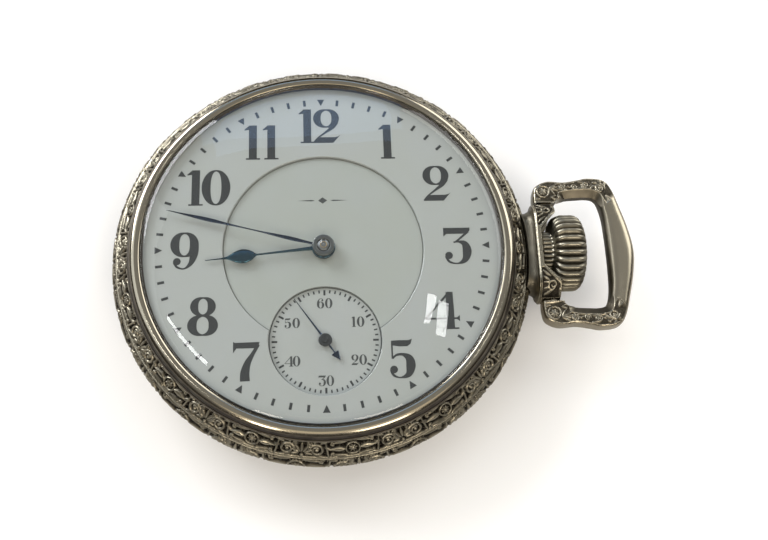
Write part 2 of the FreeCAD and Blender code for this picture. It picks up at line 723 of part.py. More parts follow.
def roller_jewel():
    return post(0.2, 3.9, 4.7, polar(ROLLER_JEWEL_R, PALLET_LINE + 180, BALANCE))


HAIRSPRING_R = 4.2
STUD_ANGLE = 330


def hairspring():
    turns = 9.5
    start = STUD_ANGLE - 360 * turns
    return spiral(BALANCE, 0.86, HAIRSPRING_R, turns, 0.07, 2.55, 2.7, start, 110)


def hairspring_stud():
    x, y = polar(HAIRSPRING_R + 0.3, STUD_ANGLE - 2, BALANCE)
    return post(0.26, 2.2, 2.75, (x, y))


# ---------------------------------------------------------------- frame of the movement
COCK_FOOT = (-16.6, 7.2)


def balance_cock():
    """An arm from its foot over the balance, with a side arm for the hairspring's stud."""
    foot = plan(poly_wire([(-19.6, 4.6), (-14.0, 4.3), (-12.6, 8.2), (-16.6, 11.8), (-20.6, 9.4)]))
    foot = foot.common(plan(ring_wire(20.4)))
    arm = plan(poly_wire([(-18.6, 5.2), (-12.9, 5.6), (-9.6, -4.2), (-12.6, -4.9)]))
    head = plan(ring_wire(1.7, BALANCE))
    stud_at = polar(HAIRSPRING_R + 0.3, STUD_ANGLE - 2, BALANCE)
    side = lever([BALANCE, stud_at], 0.6, 2.05, 2.45)
    top = lift(fused(foot, arm, head), 2.05, 2.45)
    solid = fused(top, side, lift(foot, 2.45, PLATE_LOW))
    holes = [post(0.62, 2, 3, BALANCE), post(0.27, 2, 3, stud_at), post(0.5, 2, 6, COCK_FOOT),
             post(1.05, 2, 2.5, COCK_FOOT)]
    return solid.cut(fused(*holes))


def regulator():
    """A ring around the cock's jewel, a pointer over the arm and two curb pins."""
    pointer = bearing(BALANCE, COCK_FOOT)
    tail = STUD_ANGLE - 62
    ring = post(1.15, 1.82, 2.03, BALANCE)
    hand = lever([BALANCE, polar(6.4, pointer, BALANCE)], 0.3, 1.82, 2.03)
    arm = lever([BALANCE, polar(HAIRSPRING_R, tail, BALANCE)], 0.38, 1.82, 2.03)
    pins = [post(0.1, 1.9, 2.75, polar(HAIRSPRING_R + s * 0.22, tail, BALANCE)) for s in (1, -1)]
    return fused(ring, hand, arm, *pins).cut(post(0.64, 1, 3, BALANCE))


def pillar_plate():
    """Carries the train on one side and the dial's motion work on the other."""
    holes = [post(8.25, 5, 6.5, BARREL), post(0.53, 6, 7.5, BARREL), post(0.5, 5, 8, CENTRE)]
    holes += [post(0.75, 5, 6.35, at) for at in (THIRD, ESCAPE, PALLET_AT, BALANCE)]
    holes += [post(0.75, 5, 6.0, SECONDS), post(0.35, 5, 8, SECONDS)]
    holes += [post(0.42, 5, 8, polar(FOOT_R, a)) for a in FOOT_ANGLES]
    holes += [post(0.4, 5, 7.02, polar(BRIDGE_SCREW_R, a))
              for a in (*BARREL_BRIDGE_SCREWS, *TRAIN_BRIDGE_SCREWS)]
    holes += [post(0.4, 5, 7.02, polar(CASE_SCREW_R, a)) for a in CASE_SCREW_ANGLES]
    holes += [post(0.4, 5, 7.02, COCK_FOOT)]
    holes += [block(12.2, 17.75, -2.65, 2.65, 5, 8), rod(0.42, 10.6, 12.3), rod(0.76, 17.6, 22)]
    holes += [block(18.35, 20.35, -0.4, 0.5, 5, 8)]
    for a in FOOT_ANGLES:
        reach = Part.makeCylinder(0.42, 3, V(*polar(19.6, a), 6.4), V(*polar(1, a), 0))
        holes.append(reach)
    posts = [post(0.4, PLATE_TOP, 7.85, MINUTE_POST), post(0.5, PLATE_TOP, 7.6, SETTING_POST),
             post(0.43, PLATE_TOP, 7.75, SETTING_LEVER_POST), post(0.43, PLATE_TOP, 7.75, CLUTCH_LEVER_POST)]
    plate = post(PLATE_R, PLATE_LOW, PLATE_TOP)
    for hole in holes:
        plate = plate.cut(hole)
    return fused(plate, *posts)


def bridge(outline, seats, holes, extra=None):
    """A bridge with feet along the rim."""
    shape = plan(poly_wire(outline)).common(plan(ring_wire(BRIDGE_R)))
    if extra:
        shape = shape.fuse(extra).removeSplitter()
    shape = shape.cut(plan(ring_wire(8.75, BALANCE)))
    rim = plan(ring_wire(BRIDGE_R), [ring_wire(WALL_R)])
    solid = fused(lift(shape, BRIDGE_LOW, BRIDGE_TOP), lift(shape.common(rim), BRIDGE_TOP, PLATE_LOW))
    for cut in (*seats, *holes):
        solid = solid.cut(cut)
    return solid


def bridge_screw_holes(angles):
    places = [polar(BRIDGE_SCREW_R, a) for a in angles]
    return ([post(1.05, 2, 2.55, at) for at in places]
            + [post(0.5, 2, PLATE_LOW + 0.1, at) for at in places])


def barrel_bridge():
    outline = [(22, -7.1), (8.0, -6.3), (5.9, -2.9), (2.6, -1.5), (0.9, 1.85), (-2.5, 1.0), (-5.2, 3.0),
               (-11.3, 4.6), (-12.3, 8.6), (-16.0, 12.2), (-16, 22), (22, 22)]
    click_room = plan(poly_wire([polar(r, a, BARREL) for r, a in
                                 ((7, 126), (11.5, 108), (11.9, 128), (11.0, 156), (8.5, 164), (7, 160))]))
    screw_at = polar(CASE_SCREW_R, CASE_SCREW_ANGLES[2])
    seats = [post(7.68, 2, 2.9, BARREL), post(5.88, 2, 3.25, CROWN_WHEEL_AT), lift(click_room, 2, 2.9),
             post(1.15, 3.4, 5.7, screw_at)]
    holes = [post(0.76, 2, 4, BARREL), block(15.9, 17.75, -2.7, 2.7, 3, 3.6), rod(0.8, 17, 22),
             block(17.3, 18.8, -3, 3, 3.4, 6), post(0.45, 2, 4, CLICK_AT), post(0.6, 2, 4, CROWN_WHEEL_AT),
             post(1.9, 2, 4, CENTRE), *bridge_screw_holes(BARREL_BRIDGE_SCREWS)]
    return bridge(outline, seats, holes)


def train_bridge():
    outline = [(21.8, -7.4), (7.85, -6.6), (5.7, -3.2), (2.5, -1.8), (0.6, 1.0), (-1.6, 0.6), (-2.6, -1.5),
               (-3.4, -9.0), (-9.5, -14.5), (-8.6, -22), (22, -22)]
    boss = plan(ring_wire(1.72, CENTRE))
    places = (CENTRE, THIRD, SECONDS, ESCAPE)
    holes = [post(0.75, 2.9, 4, at) for at in places] + [post(0.34, 2, 4, at) for at in places]
    holes += [post(0.5, 2, 2.55, at) for at in places]
    return bridge(outline, [], [*holes, *bridge_screw_holes(TRAIN_BRIDGE_SCREWS)], boss)


def pallet_cock():
    across = PALLET_LINE - 90
    foot = polar(-4.5, across, PALLET_AT)
    if math.hypot(*foot) < math.hypot(*PALLET_AT):
        foot = polar(4.5, across, PALLET_AT)
    arm = lever([PALLET_AT, foot], 0.8, 3.66, 4.1)
    leg = post(1.15, 3.66, PLATE_LOW, foot)
    solid = fused(arm, leg)
    return solid.cut(fused(post(0.6, 3.8, 4.2, PALLET_AT), post(0.2, 3, 4.2, PALLET_AT)))


def jewel(at, z0, z1, bore, r=0.75):
    return washer(r, bore, z0, z1, at)


def plate_jewels():
    return group([
        jewel(THIRD, 5.7, 6.3, 0.18), jewel(ESCAPE, 5.7, 6.3, 0.15), jewel(PALLET_AT, 5.7, 6.3, 0.15),
        jewel(BALANCE, 5.7, 6.3, 0.15), jewel(SECONDS, 5.67, 5.95, 0.24),
    ])


def bridge_jewels():
    return group([
        jewel(CENTRE, 2.95, 3.42, 0.33), jewel(THIRD, 2.95, 3.42, 0.18),
        jewel(SECONDS, 2.95, 3.42, 0.18), jewel(ESCAPE, 2.95, 3.42, 0.15),
        jewel(PALLET_AT, 3.82, 4.08, 0.15, 0.58), jewel(BALANCE, 2.08, 2.45, 0.15, 0.6),
    ])


def bridge_screws():
    angles = (*BARREL_BRIDGE_SCREWS, *TRAIN_BRIDGE_SCREWS)
    return group(screw(polar(BRIDGE_SCREW_R, a), 1.0, 2.1, 2.55, 0.38, 7.0) for a in angles)


def balance_cock_screw():
    return screw(COCK_FOOT, 1.0, 2.08, 2.5, 0.38, 7.0)


def case_screws():
    return group(screw(polar(CASE_SCREW_R, a), 0.95, 4.8, 5.27, 0.38, 7.0) for a in CASE_SCREW_ANGLES)


def crown_wheel_screw():
    """Screws into the bridge and carries the crown wheel on its shoulder."""
    return fused(screw(CROWN_WHEEL_AT, 2.3, 2.02, 2.27, 1.24, 3.24, 0.4), post(0.55, 3.2, 3.44, CROWN_WHEEL_AT))


def ratchet_wheel_screw():
    return screw(BARREL, 1.9, 2.02, 2.28, 0.27, 2.86, 0.35)


# ---------------------------------------------------------------- motion work, dial and hands
MINUTE_WHEEL_PHASE = meshed(CENTRE, CANNON_PINION, 0.0, MINUTE_POST, MINUTE_WHEEL)
SETTING_WHEEL_PHASE = meshed(MINUTE_POST, MINUTE_WHEEL, MINUTE_WHEEL_PHASE, SETTING_POST, SETTING_WHEEL)
HOUR_WHEEL_PHASE = 0.0
MINUTE_PINION_PHASE = meshed(CENTRE, HOUR_WHEEL, HOUR_WHEEL_PHASE, MINUTE_POST, MINUTE_PINION)


def cannon_pinion():
    leaves = pinion(CANNON_PINION, CENTRE, 0.0, 7.25, 7.56)
    return fused(leaves, post(0.68, 7.56, 9.48)).cut(post(0.42, 7, 11))


def minute_wheel():
    bore = [ring_wire(0.43, MINUTE_POST)]
    wheel = slab(tooth_wire(MINUTE_WHEEL, MINUTE_POST, MINUTE_WHEEL_PHASE), 7.25, 7.5, bore)
    leaves = slab(tooth_wire(MINUTE_PINION, MINUTE_POST, MINUTE_PINION_PHASE, 0.36, 0.7, 1.1), 7.5, 7.84, bore)
    return fused(wheel, leaves)


def hour_wheel():
    bore = [ring_wire(0.74)]
    wheel = slab(tooth_wire(HOUR_WHEEL, CENTRE, HOUR_WHEEL_PHASE), 7.62, 7.84, bore)
    return fused(wheel, washer(1.02, 0.74, 7.84, HOUR_HAND_Z + 0.15))


def setting_wheel():
    bore = [ring_wire(0.53, SETTING_POST)]
    return slab(tooth_wire(SETTING_WHEEL, SETTING_POST, SETTING_WHEEL_PHASE), 7.25, 7.5, bore)


def dial_outer_ring():
    seconds = post(SECONDS_SUNK_R, 7, 10, SECONDS)
    return washer(DIAL_R, CENTRE_SUNK_R, DIAL_UNDER, DIAL_Z).cut(seconds)


def dial_centre_disc():
    disc = washer(CENTRE_SUNK_R - 0.02, 1.2, DIAL_UNDER, CENTRE_SUNK_Z)
    return disc.cut(post(SECONDS_SUNK_R, 7, 10, SECONDS))


def dial_seconds_disc():
    return washer(SECONDS_SUNK_R - 0.02, 0.5, DIAL_UNDER, SECONDS_SUNK_Z, SECONDS)


def dial_feet():
    return group(post(0.4, 5.9, DIAL_UNDER, polar(FOOT_R, a)) for a in FOOT_ANGLES)


def dial_foot_screws():
    """Small screws in the plate's edge that bear on the dial's feet."""
    return group(
        Part.makeCylinder(0.4, 1.5, V(*polar(19.93, a), 6.4), V(*polar(1, a), 0)) for a in FOOT_ANGLES
    )


def hour_hand():
    """A spade hand."""
    points = [(0.6, 0.34), (2.2, 0.24), (5.0, 0.15), (7.3, 0.12), (8.2, 0.3), (9.2, 0.74), (10.1, 0.92),
              (11.0, 0.78), (11.7, 0.42), (12.2, 0.2), (12.8, 0.1), (13.4, 0.06), (14.05, 0.03)]
    blade = leaf(points, HOUR_ANGLE, HOUR_HAND_Z, HOUR_HAND_Z + 0.16, 1.4, 1.04)
    return fused(blade, washer(1.4, 1.04, 8.75, HOUR_HAND_Z + 0.16))


def minute_hand():
    points = [(0.5, 0.26), (3.0, 0.225), (6.0, 0.17), (9.6, 0.085), (12.5, 0.15), (15.2, 0.225), (17.2, 0.15),
              (19.3, 0.03)]
    blade = leaf(points, MINUTE_ANGLE, MINUTE_HAND_Z, MINUTE_HAND_Z + 0.14, 1.1, 0.42)
    return fused(blade, washer(1.1, 0.42, MINUTE_HAND_Z, 9.95))


def seconds_hand():
    """A needle with an arrow-head counterpoise."""
    needle = [(0.3, 0.16), (3.0, 0.09), (6.3, 0.03)]
    z0, z1 = SECONDS_HAND_Z, SECONDS_HAND_Z + 0.1
    blade = leaf(needle, SECONDS_ANGLE, z0, z1, 0.9, 0.21, SECONDS)
    tail = plan(poly_wire([(-0.6, -0.16), (-1.9, -0.1), (-1.75, -0.5), (-3.0, 0), (-1.75, 0.5), (-1.9, 0.1),
                           (-0.6, 0.16)]))
    tail.rotate(ORIGIN, Z_AXIS, SECONDS_ANGLE)
    tail.translate(V(*SECONDS, 0))
    return fused(blade, lift(tail, z0, z1), washer(0.5, 0.21, z0, z1 + 0.18, SECONDS))


# ---------------------------------------------------------------- all nodes
NODES = [
    case_centre_band, front_bezel, crystal, case_back, pendant, pendant_sleeve, bow, crown,
    winding_stem, winding_pinion, clutch_wheel, setting_lever, clutch_lever,
    crown_wheel, crown_wheel_screw, ratchet_wheel, ratchet_wheel_screw, click, click_spring,
    mainspring_barrel, barrel_cover, barrel_arbor, mainspring,
    centre_wheel, third_wheel, fourth_wheel, escape_wheel, pallet_fork, pallet_jewels,
    balance_wheel, balance_screws, balance_staff, roller_jewel, hairspring, hairspring_stud,
    balance_cock, balance_cock_screw, regulator, pillar_plate, barrel_bridge, train_bridge, pallet_cock,
    plate_jewels, bridge_jewels, bridge_screws, case_screws,
    cannon_pinion, minute_wheel, hour_wheel, setting_wheel,
    dial_outer_ring, dial_centre_disc, dial_seconds_disc, dial_feet, dial_foot_screws,
    hour_hand, minute_hand, seconds_hand,
]

os.makedirs("parts", exist_ok=True)
for node in NODES:
    node().exportStep(f"parts/{node.__name__}.step")
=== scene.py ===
import math

import bpy
import numpy as np
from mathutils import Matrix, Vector


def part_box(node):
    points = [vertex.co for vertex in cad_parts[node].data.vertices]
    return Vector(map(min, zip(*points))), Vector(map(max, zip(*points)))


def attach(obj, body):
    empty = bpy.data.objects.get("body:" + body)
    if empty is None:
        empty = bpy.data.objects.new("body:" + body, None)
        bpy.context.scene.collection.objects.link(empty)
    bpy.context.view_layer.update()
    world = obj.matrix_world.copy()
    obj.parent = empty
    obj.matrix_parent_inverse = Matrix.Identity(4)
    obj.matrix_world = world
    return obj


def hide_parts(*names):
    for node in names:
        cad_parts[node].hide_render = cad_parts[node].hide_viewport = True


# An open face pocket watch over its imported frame. Lengths are millimetres until a
# mesh is made; the row frame has +X to the crown, +Y to 12 o'clock, +Z out of the dial.

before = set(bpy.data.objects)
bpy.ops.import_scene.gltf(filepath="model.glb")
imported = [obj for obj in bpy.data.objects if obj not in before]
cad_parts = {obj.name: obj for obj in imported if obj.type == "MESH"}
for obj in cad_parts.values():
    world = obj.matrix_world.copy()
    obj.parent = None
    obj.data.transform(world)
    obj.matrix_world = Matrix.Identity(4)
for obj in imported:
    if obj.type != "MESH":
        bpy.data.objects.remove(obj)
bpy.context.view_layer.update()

MM = 0.001
TAU = 2 * math.pi

# ---- levels and radii shared with the frame ----
DIAL_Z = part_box("dial_outer_ring")[1][2] / MM
CENTRE_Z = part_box("dial_centre_disc")[1][2] / MM
SECONDS_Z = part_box("dial_seconds_disc")[1][2] / MM
DIAL_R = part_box("dial_outer_ring")[1][0] / MM
CENTRE_R = 12.0
SECONDS_R = 6.6
SECONDS_AT = (0.0, -11.35)
BAND_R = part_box("case_centre_band")[1][1] / MM
CRYSTAL_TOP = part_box("crystal")[1][2] / MM
STEM_Z = 5.4
BOW_AXIS_X = 27.9

# ---- engraving and turning ----
CASE_DEEP, BACK_DEEP, MARK_DEEP = 0.3, 0.2, 0.2
RIM_SEGMENTS, CASE_SEGMENTS, GLASS_SEGMENTS, HUB_SEGMENTS = 720, 480, 360, 96

# ---- printed dial ----
PRINT_HIGH = 0.012
ON_DIAL = ("case", "dial_enamel")
# overlapping strokes of one print stand a little apart, in this many layers
LAYER_STEP, LAYERS = 0.0015, 8
MINUTE_TRACK = (19.13, 19.95)
SECONDS_TRACK = (5.85, 6.23)
HOUR_HIGH = 4.68
SECOND_HIGH = 1.24
# the hours' digits with their lower left corners, from 12 round to 11
HOUR_DIGITS = [
    ("1", -2.9, 13.93), ("2", -1.15, 13.93), ("1", 7.0, 11.67), ("2", 12.18, 5.9), ("3", 14.25, -2.4),
    ("4", 11.62, -10.46), ("5", 7.15, -16.2), ("7", -10.8, -16.1), ("8", -15.92, -10.6),
    ("9", -18.2, -2.42), ("1", -16.5, 5.72), ("0", -14.62, 5.72), ("1", -9.63, 11.75), ("1", -7.37, 11.75),
]
SECOND_NUMBERS = {"60": (0, -6.75), "10": (3.85, -9.1), "20": (3.85, -13.7), "30": (0, -16.1),
                  "40": (-3.85, -13.7), "50": (-3.85, -9.1)}
HOUR_ANGLE, MINUTE_ANGLE, SECONDS_ANGLE = 186, 165.2, 125


# ---- mesh helpers ----
def show(obj):
    """Puts a new object in the scene."""
    bpy.context.scene.collection.objects.link(obj)


def unit(values):
    """Values held between 0 and 1."""
    return np.clip(values, 0, 1)


def make_object(name, verts, faces, material, body, slot=None, nodes=(), smooth=True):
    """A mesh from vertices in millimetres that rides on a CAD body."""
    mesh = bpy.data.meshes.new(name)
    mesh.from_pydata((np.asarray(verts, float) * MM).tolist(), [], faces)
    mesh.validate()
    if smooth:
        mesh.shade_smooth()
    obj = bpy.data.objects.new(name, mesh)
    show(obj)
    mesh.materials.append(material)
    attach(obj, body)
    if nodes:
        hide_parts(*nodes)
    return obj


def grid_faces(nu, nv, close_u=True):
    """Quads over a grid of nu by nv vertices, u outermost and v closed."""
    u = np.arange(nu if close_u else nu - 1)
    a, b = np.meshgrid(u, np.arange(nv), indexing="ij")
    a2, b2 = (a + 1) % nu, (b + 1) % nv
    quads = np.stack([a * nv + b, a2 * nv + b, a2 * nv + b2, a * nv + b2], -1)
    return quads.reshape(-1, 4).tolist()


def capped_faces(nu, nv):
    """Quads along nu sections of nv vertices, and a face over each end."""
    ends = [list(range(nv))[::-1], [(nu - 1) * nv + k for k in range(nv)]]
    return grid_faces(nu, nv, False) + ends


def baked(holder):
    """The evaluated shape of an object as vertices in millimetres and faces; the object goes."""
    show(holder)
    graph = bpy.context.evaluated_depsgraph_get()
    mesh = bpy.data.meshes.new_from_object(holder.evaluated_get(graph))
    bpy.data.objects.remove(holder)
    verts = np.zeros(len(mesh.vertices) * 3)
    mesh.vertices.foreach_get("co", verts)
    return verts.reshape(-1, 3) / MM, [list(p.vertices) for p in mesh.polygons]


def smooth_path(points, per):
    """A Catmull-Rom curve through the points; every column is interpolated."""
    p = np.asarray(points, float)
    last = len(p) - 1
    t = np.linspace(0, 1, per, endpoint=False)[:, None]
    out = []
    for i in range(last):
        p0, p1, p2, p3 = p[max(i - 1, 0)], p[i], p[i + 1], p[min(i + 2, last)]
        out.append(0.5 * (2 * p1 + (p2 - p0) * t + (2 * p0 - 5 * p1 + 4 * p2 - p3) * t ** 2
                          + (3 * p1 - p0 - 3 * p2 + p3) * t ** 3))
    return np.vstack([*out, p[-1:]])


def rounded(points, radius, steps):
    """A closed outline with every corner cut by a short curve."""
    p = np.asarray(points, float)
    out = []
    for i in range(len(p)):
        before, here, after = p[i - 1], p[i], p[(i + 1) % len(p)]
        a, b = before - here, after - here
        la, lb = np.linalg.norm(a), np.linalg.norm(b)
        cut = min(radius, la * 0.45, lb * 0.45)
        start, end = here + a / la * cut, here + b / lb * cut
        for t in np.linspace(0, 1, steps):
            out.append((1 - t) ** 2 * start + 2 * t * (1 - t) * here + t ** 2 * end)
    return np.array(out)


def turned(r, z, segments, at=(0, 0)):
    """Vertices of radii and levels turned about an upright axis."""
    angles = np.arange(segments)[:, None] * TAU / segments
    return np.stack([at[0] + np.cos(angles) * r, at[1] + np.sin(angles) * r,
                     np.broadcast_to(z, (segments, z.shape[-1]))], -1).reshape(-1, 3)


def revolve(name, outline, segments, material, body, slot, nodes=(), at=(0, 0)):
    """A ring or dome turned from (r, z) points, about the dial's axis unless at says another."""
    verts = turned(outline[:, 0], outline[:, 1], segments, at)
    return make_object(name, verts, grid_faces(segments, len(outline)), material, body, slot, nodes)


def set_patina_and_painted_shade(obj, values=1.0):
    """What the case metals read at each vertex, from 0 to 1: low values are patina in engraved recesses and
    also painted shade and painted dark reflection on some polished parts; 1 is a bright crest.
    """
    layer = obj.data.attributes.new("patina_and_painted_shade", "FLOAT", "POINT")
    layer.data.foreach_set("value", np.full(len(layer.data), values, np.float32))


# ---- materials ----
def new_material(name, color, metallic, roughness, **inputs):
    """A principled material; extra inputs are set by their socket names."""
    mat = bpy.data.materials.new(name)
    mat.use_nodes = True
    shader = mat.node_tree.nodes["Principled BSDF"]
    shader.inputs["Base Color"].default_value = (*color, 1)
    shader.inputs["Metallic"].default_value = metallic
    shader.inputs["Roughness"].default_value = roughness
    for key, value in inputs.items():
        shader.inputs[key.replace("_", " ")].default_value = value
    return mat


def add_node(mat, kind, inputs=(), **settings):
    """A shader node in a material or a world; inputs are (name, value) pairs."""
    node = mat.node_tree.nodes.new(kind)
    for key, value in settings.items():
        setattr(node, key, value)
    for key, value in inputs:
        node.inputs[key].default_value = value
    return node


def link(mat, a, b):
    """Joins two sockets."""
    mat.node_tree.links.new(a, b)


def drive(mat, key, source):
    """Feeds one input of the material's principled shader."""
    link(mat, source, mat.node_tree.nodes["Principled BSDF"].inputs[key])


def calculate(mat, operation, *values):
    """A math node over numbers and sockets."""
    node = add_node(mat, "ShaderNodeMath", operation=operation)
    for place, value in zip(node.inputs, values):
        if isinstance(value, float):
            place.default_value = value
        else:
            link(mat, value, place)
    return node.outputs["Value"]


def spread(mat, source, low, high, start=0.0, end=1.0, **settings):
    """A value that runs from low to high while the source runs from start to end."""
    limits = [("From Min", start), ("From Max", end), ("To Min", low), ("To Max", high)]
    node = add_node(mat, "ShaderNodeMapRange", limits, **settings)
    link(mat, source, node.inputs["Value"])
    return node.outputs["Result"]


def noise(mat, scale, detail=3.0):
    """Fine noise in the object's own metres."""
    tex = add_node(mat, "ShaderNodeTexNoise", [("Scale", scale), ("Detail", detail)])
    link(mat, add_node(mat, "ShaderNodeTexCoord").outputs["Object"], tex.inputs["Vector"])
    return tex.outputs["Fac"]


def ramp(mat, source, stops):
    """A colour ramp; stops are (place, colour)."""
    node = add_node(mat, "ShaderNodeValToRGB")
    elements = node.color_ramp.elements
    while len(elements) < len(stops):
        elements.new(0.5)
    for element, (place, color) in zip(elements, stops):
        element.position = place
        element.color = (*color, 1)
    link(mat, source, node.inputs["Fac"])
    return node.outputs["Color"]


def worn_metal(name, color, roughness):
    """Polished metal with faint smears in its gloss."""
    mat = new_material(name, color, 1.0, roughness)
    wear = 0.08
    smears = spread(mat, noise(mat, 900, 4.0), max(0.02, roughness - wear / 2), roughness + wear)
    drive(mat, "Roughness", smears)
    return mat


def engraved_metal(name, bright, dark, gloss, grain=0.0):
    """Metal whose recesses hold patina; it reads the patina and painted shade stored on the mesh, darker
    where the stored value is low.
    """
    mat = new_material(name, bright, 1.0, gloss)
    height = add_node(mat, "ShaderNodeAttribute", attribute_name="patina_and_painted_shade").outputs["Fac"]
    clouded = calculate(mat, "MULTIPLY_ADD", noise(mat, 700, 4.0), 0.36, height)
    low = calculate(mat, "SUBTRACT", clouded, 0.18)
    mid = tuple(0.35 * a + 0.65 * b for a, b in zip(bright, dark))
    drive(mat, "Base Color", ramp(mat, low, [(0.12, dark), (0.58, mid), (0.95, bright)]))
    drive(mat, "Roughness", spread(mat, low, 0.55, gloss))
    if grain:
        bump = add_node(mat, "ShaderNodeBump", [("Strength", grain), ("Distance", 0.06 * MM)])
        link(mat, noise(mat, 2200), bump.inputs["Height"])
        drive(mat, "Normal", bump.outputs["Normal"])
    return mat


def enamel(name, color):
    """Fired enamel: smooth gloss over a faintly clouded body."""
    mat = new_material(name, color, 0.0, 0.22, Coat_Weight=0.3, Coat_Roughness=0.06)
    warm = tuple(c * k for c, k in zip(color, (0.985, 0.99, 0.975)))
    cool = tuple(min(1, c * k) for c, k in zip(color, (1.0, 1.005, 1.02)))
    drive(mat, "Base Color", ramp(mat, noise(mat, 160, 5.0), [(0.35, warm), (0.65, cool)]))
    return mat


def clear_glass(name):
    """Thin clear glass: what lies under it shows, and its surface reflects more at a slant."""
    mat = bpy.data.materials.new(name)
    mat.use_nodes = True
    mat.node_tree.nodes.clear()
    out = add_node(mat, "ShaderNodeOutputMaterial")
    mix = add_node(mat, "ShaderNodeMixShader")
    clear = add_node(mat, "ShaderNodeBsdfTransparent", [("Color", (0.985, 0.992, 0.99, 1))])
    gloss = add_node(mat, "ShaderNodeBsdfGlossy", [("Roughness", 0.012)])
    slant = add_node(mat, "ShaderNodeLayerWeight").outputs["Facing"]
    link(mat, spread(mat, calculate(mat, "POWER", slant, 5.0), 0.04, 1.0), mix.inputs["Fac"])
    link(mat, clear.outputs["BSDF"], mix.inputs[1])
    link(mat, gloss.outputs["BSDF"], mix.inputs[2])
    link(mat, mix.outputs["Shader"], out.inputs["Surface"])
    return mat


def striped_nickel(name, color):
    """Bridges with soft parallel damaskeened bands."""
    mat = new_material(name, color, 1.0, 0.3)
    wave = add_node(mat, "ShaderNodeTexWave", [("Scale", 230), ("Distortion", 0.6)], wave_type="BANDS",
                    bands_direction="DIAGONAL")
    link(mat, add_node(mat, "ShaderNodeTexCoord").outputs["Object"], wave.inputs["Vector"])
    bands = wave.outputs["Fac"]
    dim = tuple(c * 0.82 for c in color)
    drive(mat, "Base Color", ramp(mat, bands, [(0.3, dim), (0.7, color)]))
    drive(mat, "Roughness", spread(mat, bands, 0.22, 0.42))
    return mat


polished_case = engraved_metal("polished_case", (0.38, 0.345, 0.27), (0.03, 0.024, 0.022), 0.14)
engraved_case = engraved_metal("engraved_case", (0.315, 0.288, 0.222), (0.012, 0.010, 0.008), 0.27, 0.55)
crown_metal = engraved_metal("crown_metal", (0.275, 0.255, 0.20), (0.03, 0.026, 0.02), 0.34)
bow_metal = engraved_metal("bow_metal", (0.36, 0.325, 0.25), (0.022, 0.018, 0.013), 0.24)
# The band body's dark colour is a painted shade, where its inner wall shows by the dial's edge.
satin_case_painted_shade = worn_metal("satin_case_painted_shade", (0.15, 0.138, 0.115), 0.4)
dial_white = enamel("dial_white", (0.40, 0.422, 0.415))
dial_centre_white = enamel("dial_centre_white", (0.382, 0.407, 0.39))
dial_ink = new_material("dial_ink", (0.024, 0.027, 0.028), 0.0, 0.35)
fine_ink = new_material("fine_ink", (0.045, 0.05, 0.05), 0.0, 0.4)
step_shade_grey = new_material("step_shade_grey", (0.13, 0.135, 0.12), 0.0, 0.3)
blued = new_material("blued_steel", (0.030, 0.045, 0.075), 1.0, 0.25)
blued_bright = new_material("blued_steel_bright", (0.035, 0.085, 0.115), 1.0, 0.25)
dark_steel = new_material("dark_steel", (0.075, 0.08, 0.08), 1.0, 0.35)
post_steel = new_material("post_steel", (0.17, 0.18, 0.185), 1.0, 0.46)
hub_steel = new_material("hub_steel", (0.16, 0.17, 0.165), 1.0, 0.3)
gilt = worn_metal("gilt_brass", (0.80, 0.58, 0.27), 0.25)
steel = worn_metal("polished_steel", (0.60, 0.60, 0.61), 0.2)
spring = worn_metal("spring_steel", (0.33, 0.35, 0.40), 0.25)
nickel = striped_nickel("damaskeened_nickel", (0.68, 0.66, 0.62))
plate_nickel = worn_metal("plate_nickel", (0.62, 0.60, 0.56), 0.35)
ruby = new_material("ruby", (0.55, 0.012, 0.05), 0.0, 0.05, Transmission_Weight=0.6, IOR=1.76)
copper = worn_metal("copper", (0.72, 0.38, 0.26), 0.35)
glass = clear_glass("crystal_glass")


# ---- engraving ----
def stroke(field, u, v, points, high=1.0):
    """Raises a rounded ridge along points (u, v, half width)."""
    for pu, pv, w in points:
        d2 = ((u - pu) ** 2 + (v - pv) ** 2) / (w * w)
        np.maximum(field, high * np.sqrt(unit(1 - d2)), out=field)


def curl(cu, cv, r0, r1, start, turns, w0, w1, steps=60):
    """A spiral from an outer radius to an inner one."""
    t = np.linspace(0, 1, steps)
    angle = start + turns * TAU * t
    r = r0 + (r1 - r0) * t ** 0.8
    return np.stack([cu + r * np.cos(angle), cv + r * np.sin(angle), w0 + (w1 - w0) * t], -1)


def boss(cu, cv, w):
    """One round bump."""
    return np.array([[cu, cv, w]])


def petals(cu, cv, count, reach, w, start):
    """A flower: short leaf strokes around a boss."""
    out = [boss(cu, cv, w * 1.1)]
    for i in range(count):
        a = start + i * TAU / count
        t = np.linspace(0.35, 1, 8)
        width = w * np.sin(np.pi * (0.15 + 0.75 * t))
        out.append(np.stack([cu + reach * t * np.cos(a), cv + reach * t * np.sin(a), width], -1))
    return np.vstack(out)


def leaf_stroke(u0, v0, angle, length, w, bend):
    """A pointed leaf that starts at a point and bends as it goes."""
    t = np.linspace(0, 1, 16)
    a = angle + bend * t
    return np.stack([u0 + np.cumsum(np.cos(a)) * length / 16, v0 + np.cumsum(np.sin(a)) * length / 16,
                     w * np.sin(np.pi * (0.12 + 0.83 * t)) + 0.012], -1)


def straight(u0, v0, u1, v1, w0, w1):
    """A bar whose half width runs from w0 to w1."""
    t = np.linspace(0, 1, 24)
    return np.stack([u0 + (u1 - u0) * t, v0 + (v1 - v0) * t, w0 + (w1 - w0) * t], -1)


def rosette(cu, cv, k):
    """A ringed flower as (points, height) strokes."""
    return [(curl(cu, cv, 0.66 * k, 0.66 * k, 0, 1, 0.11 * k, 0.11 * k, 70), 1.0),
            (petals(cu, cv, 8, 0.44 * k, 0.12 * k, 0.2), 0.85),
            (boss(cu, cv, 0.19 * k), 1.0)]


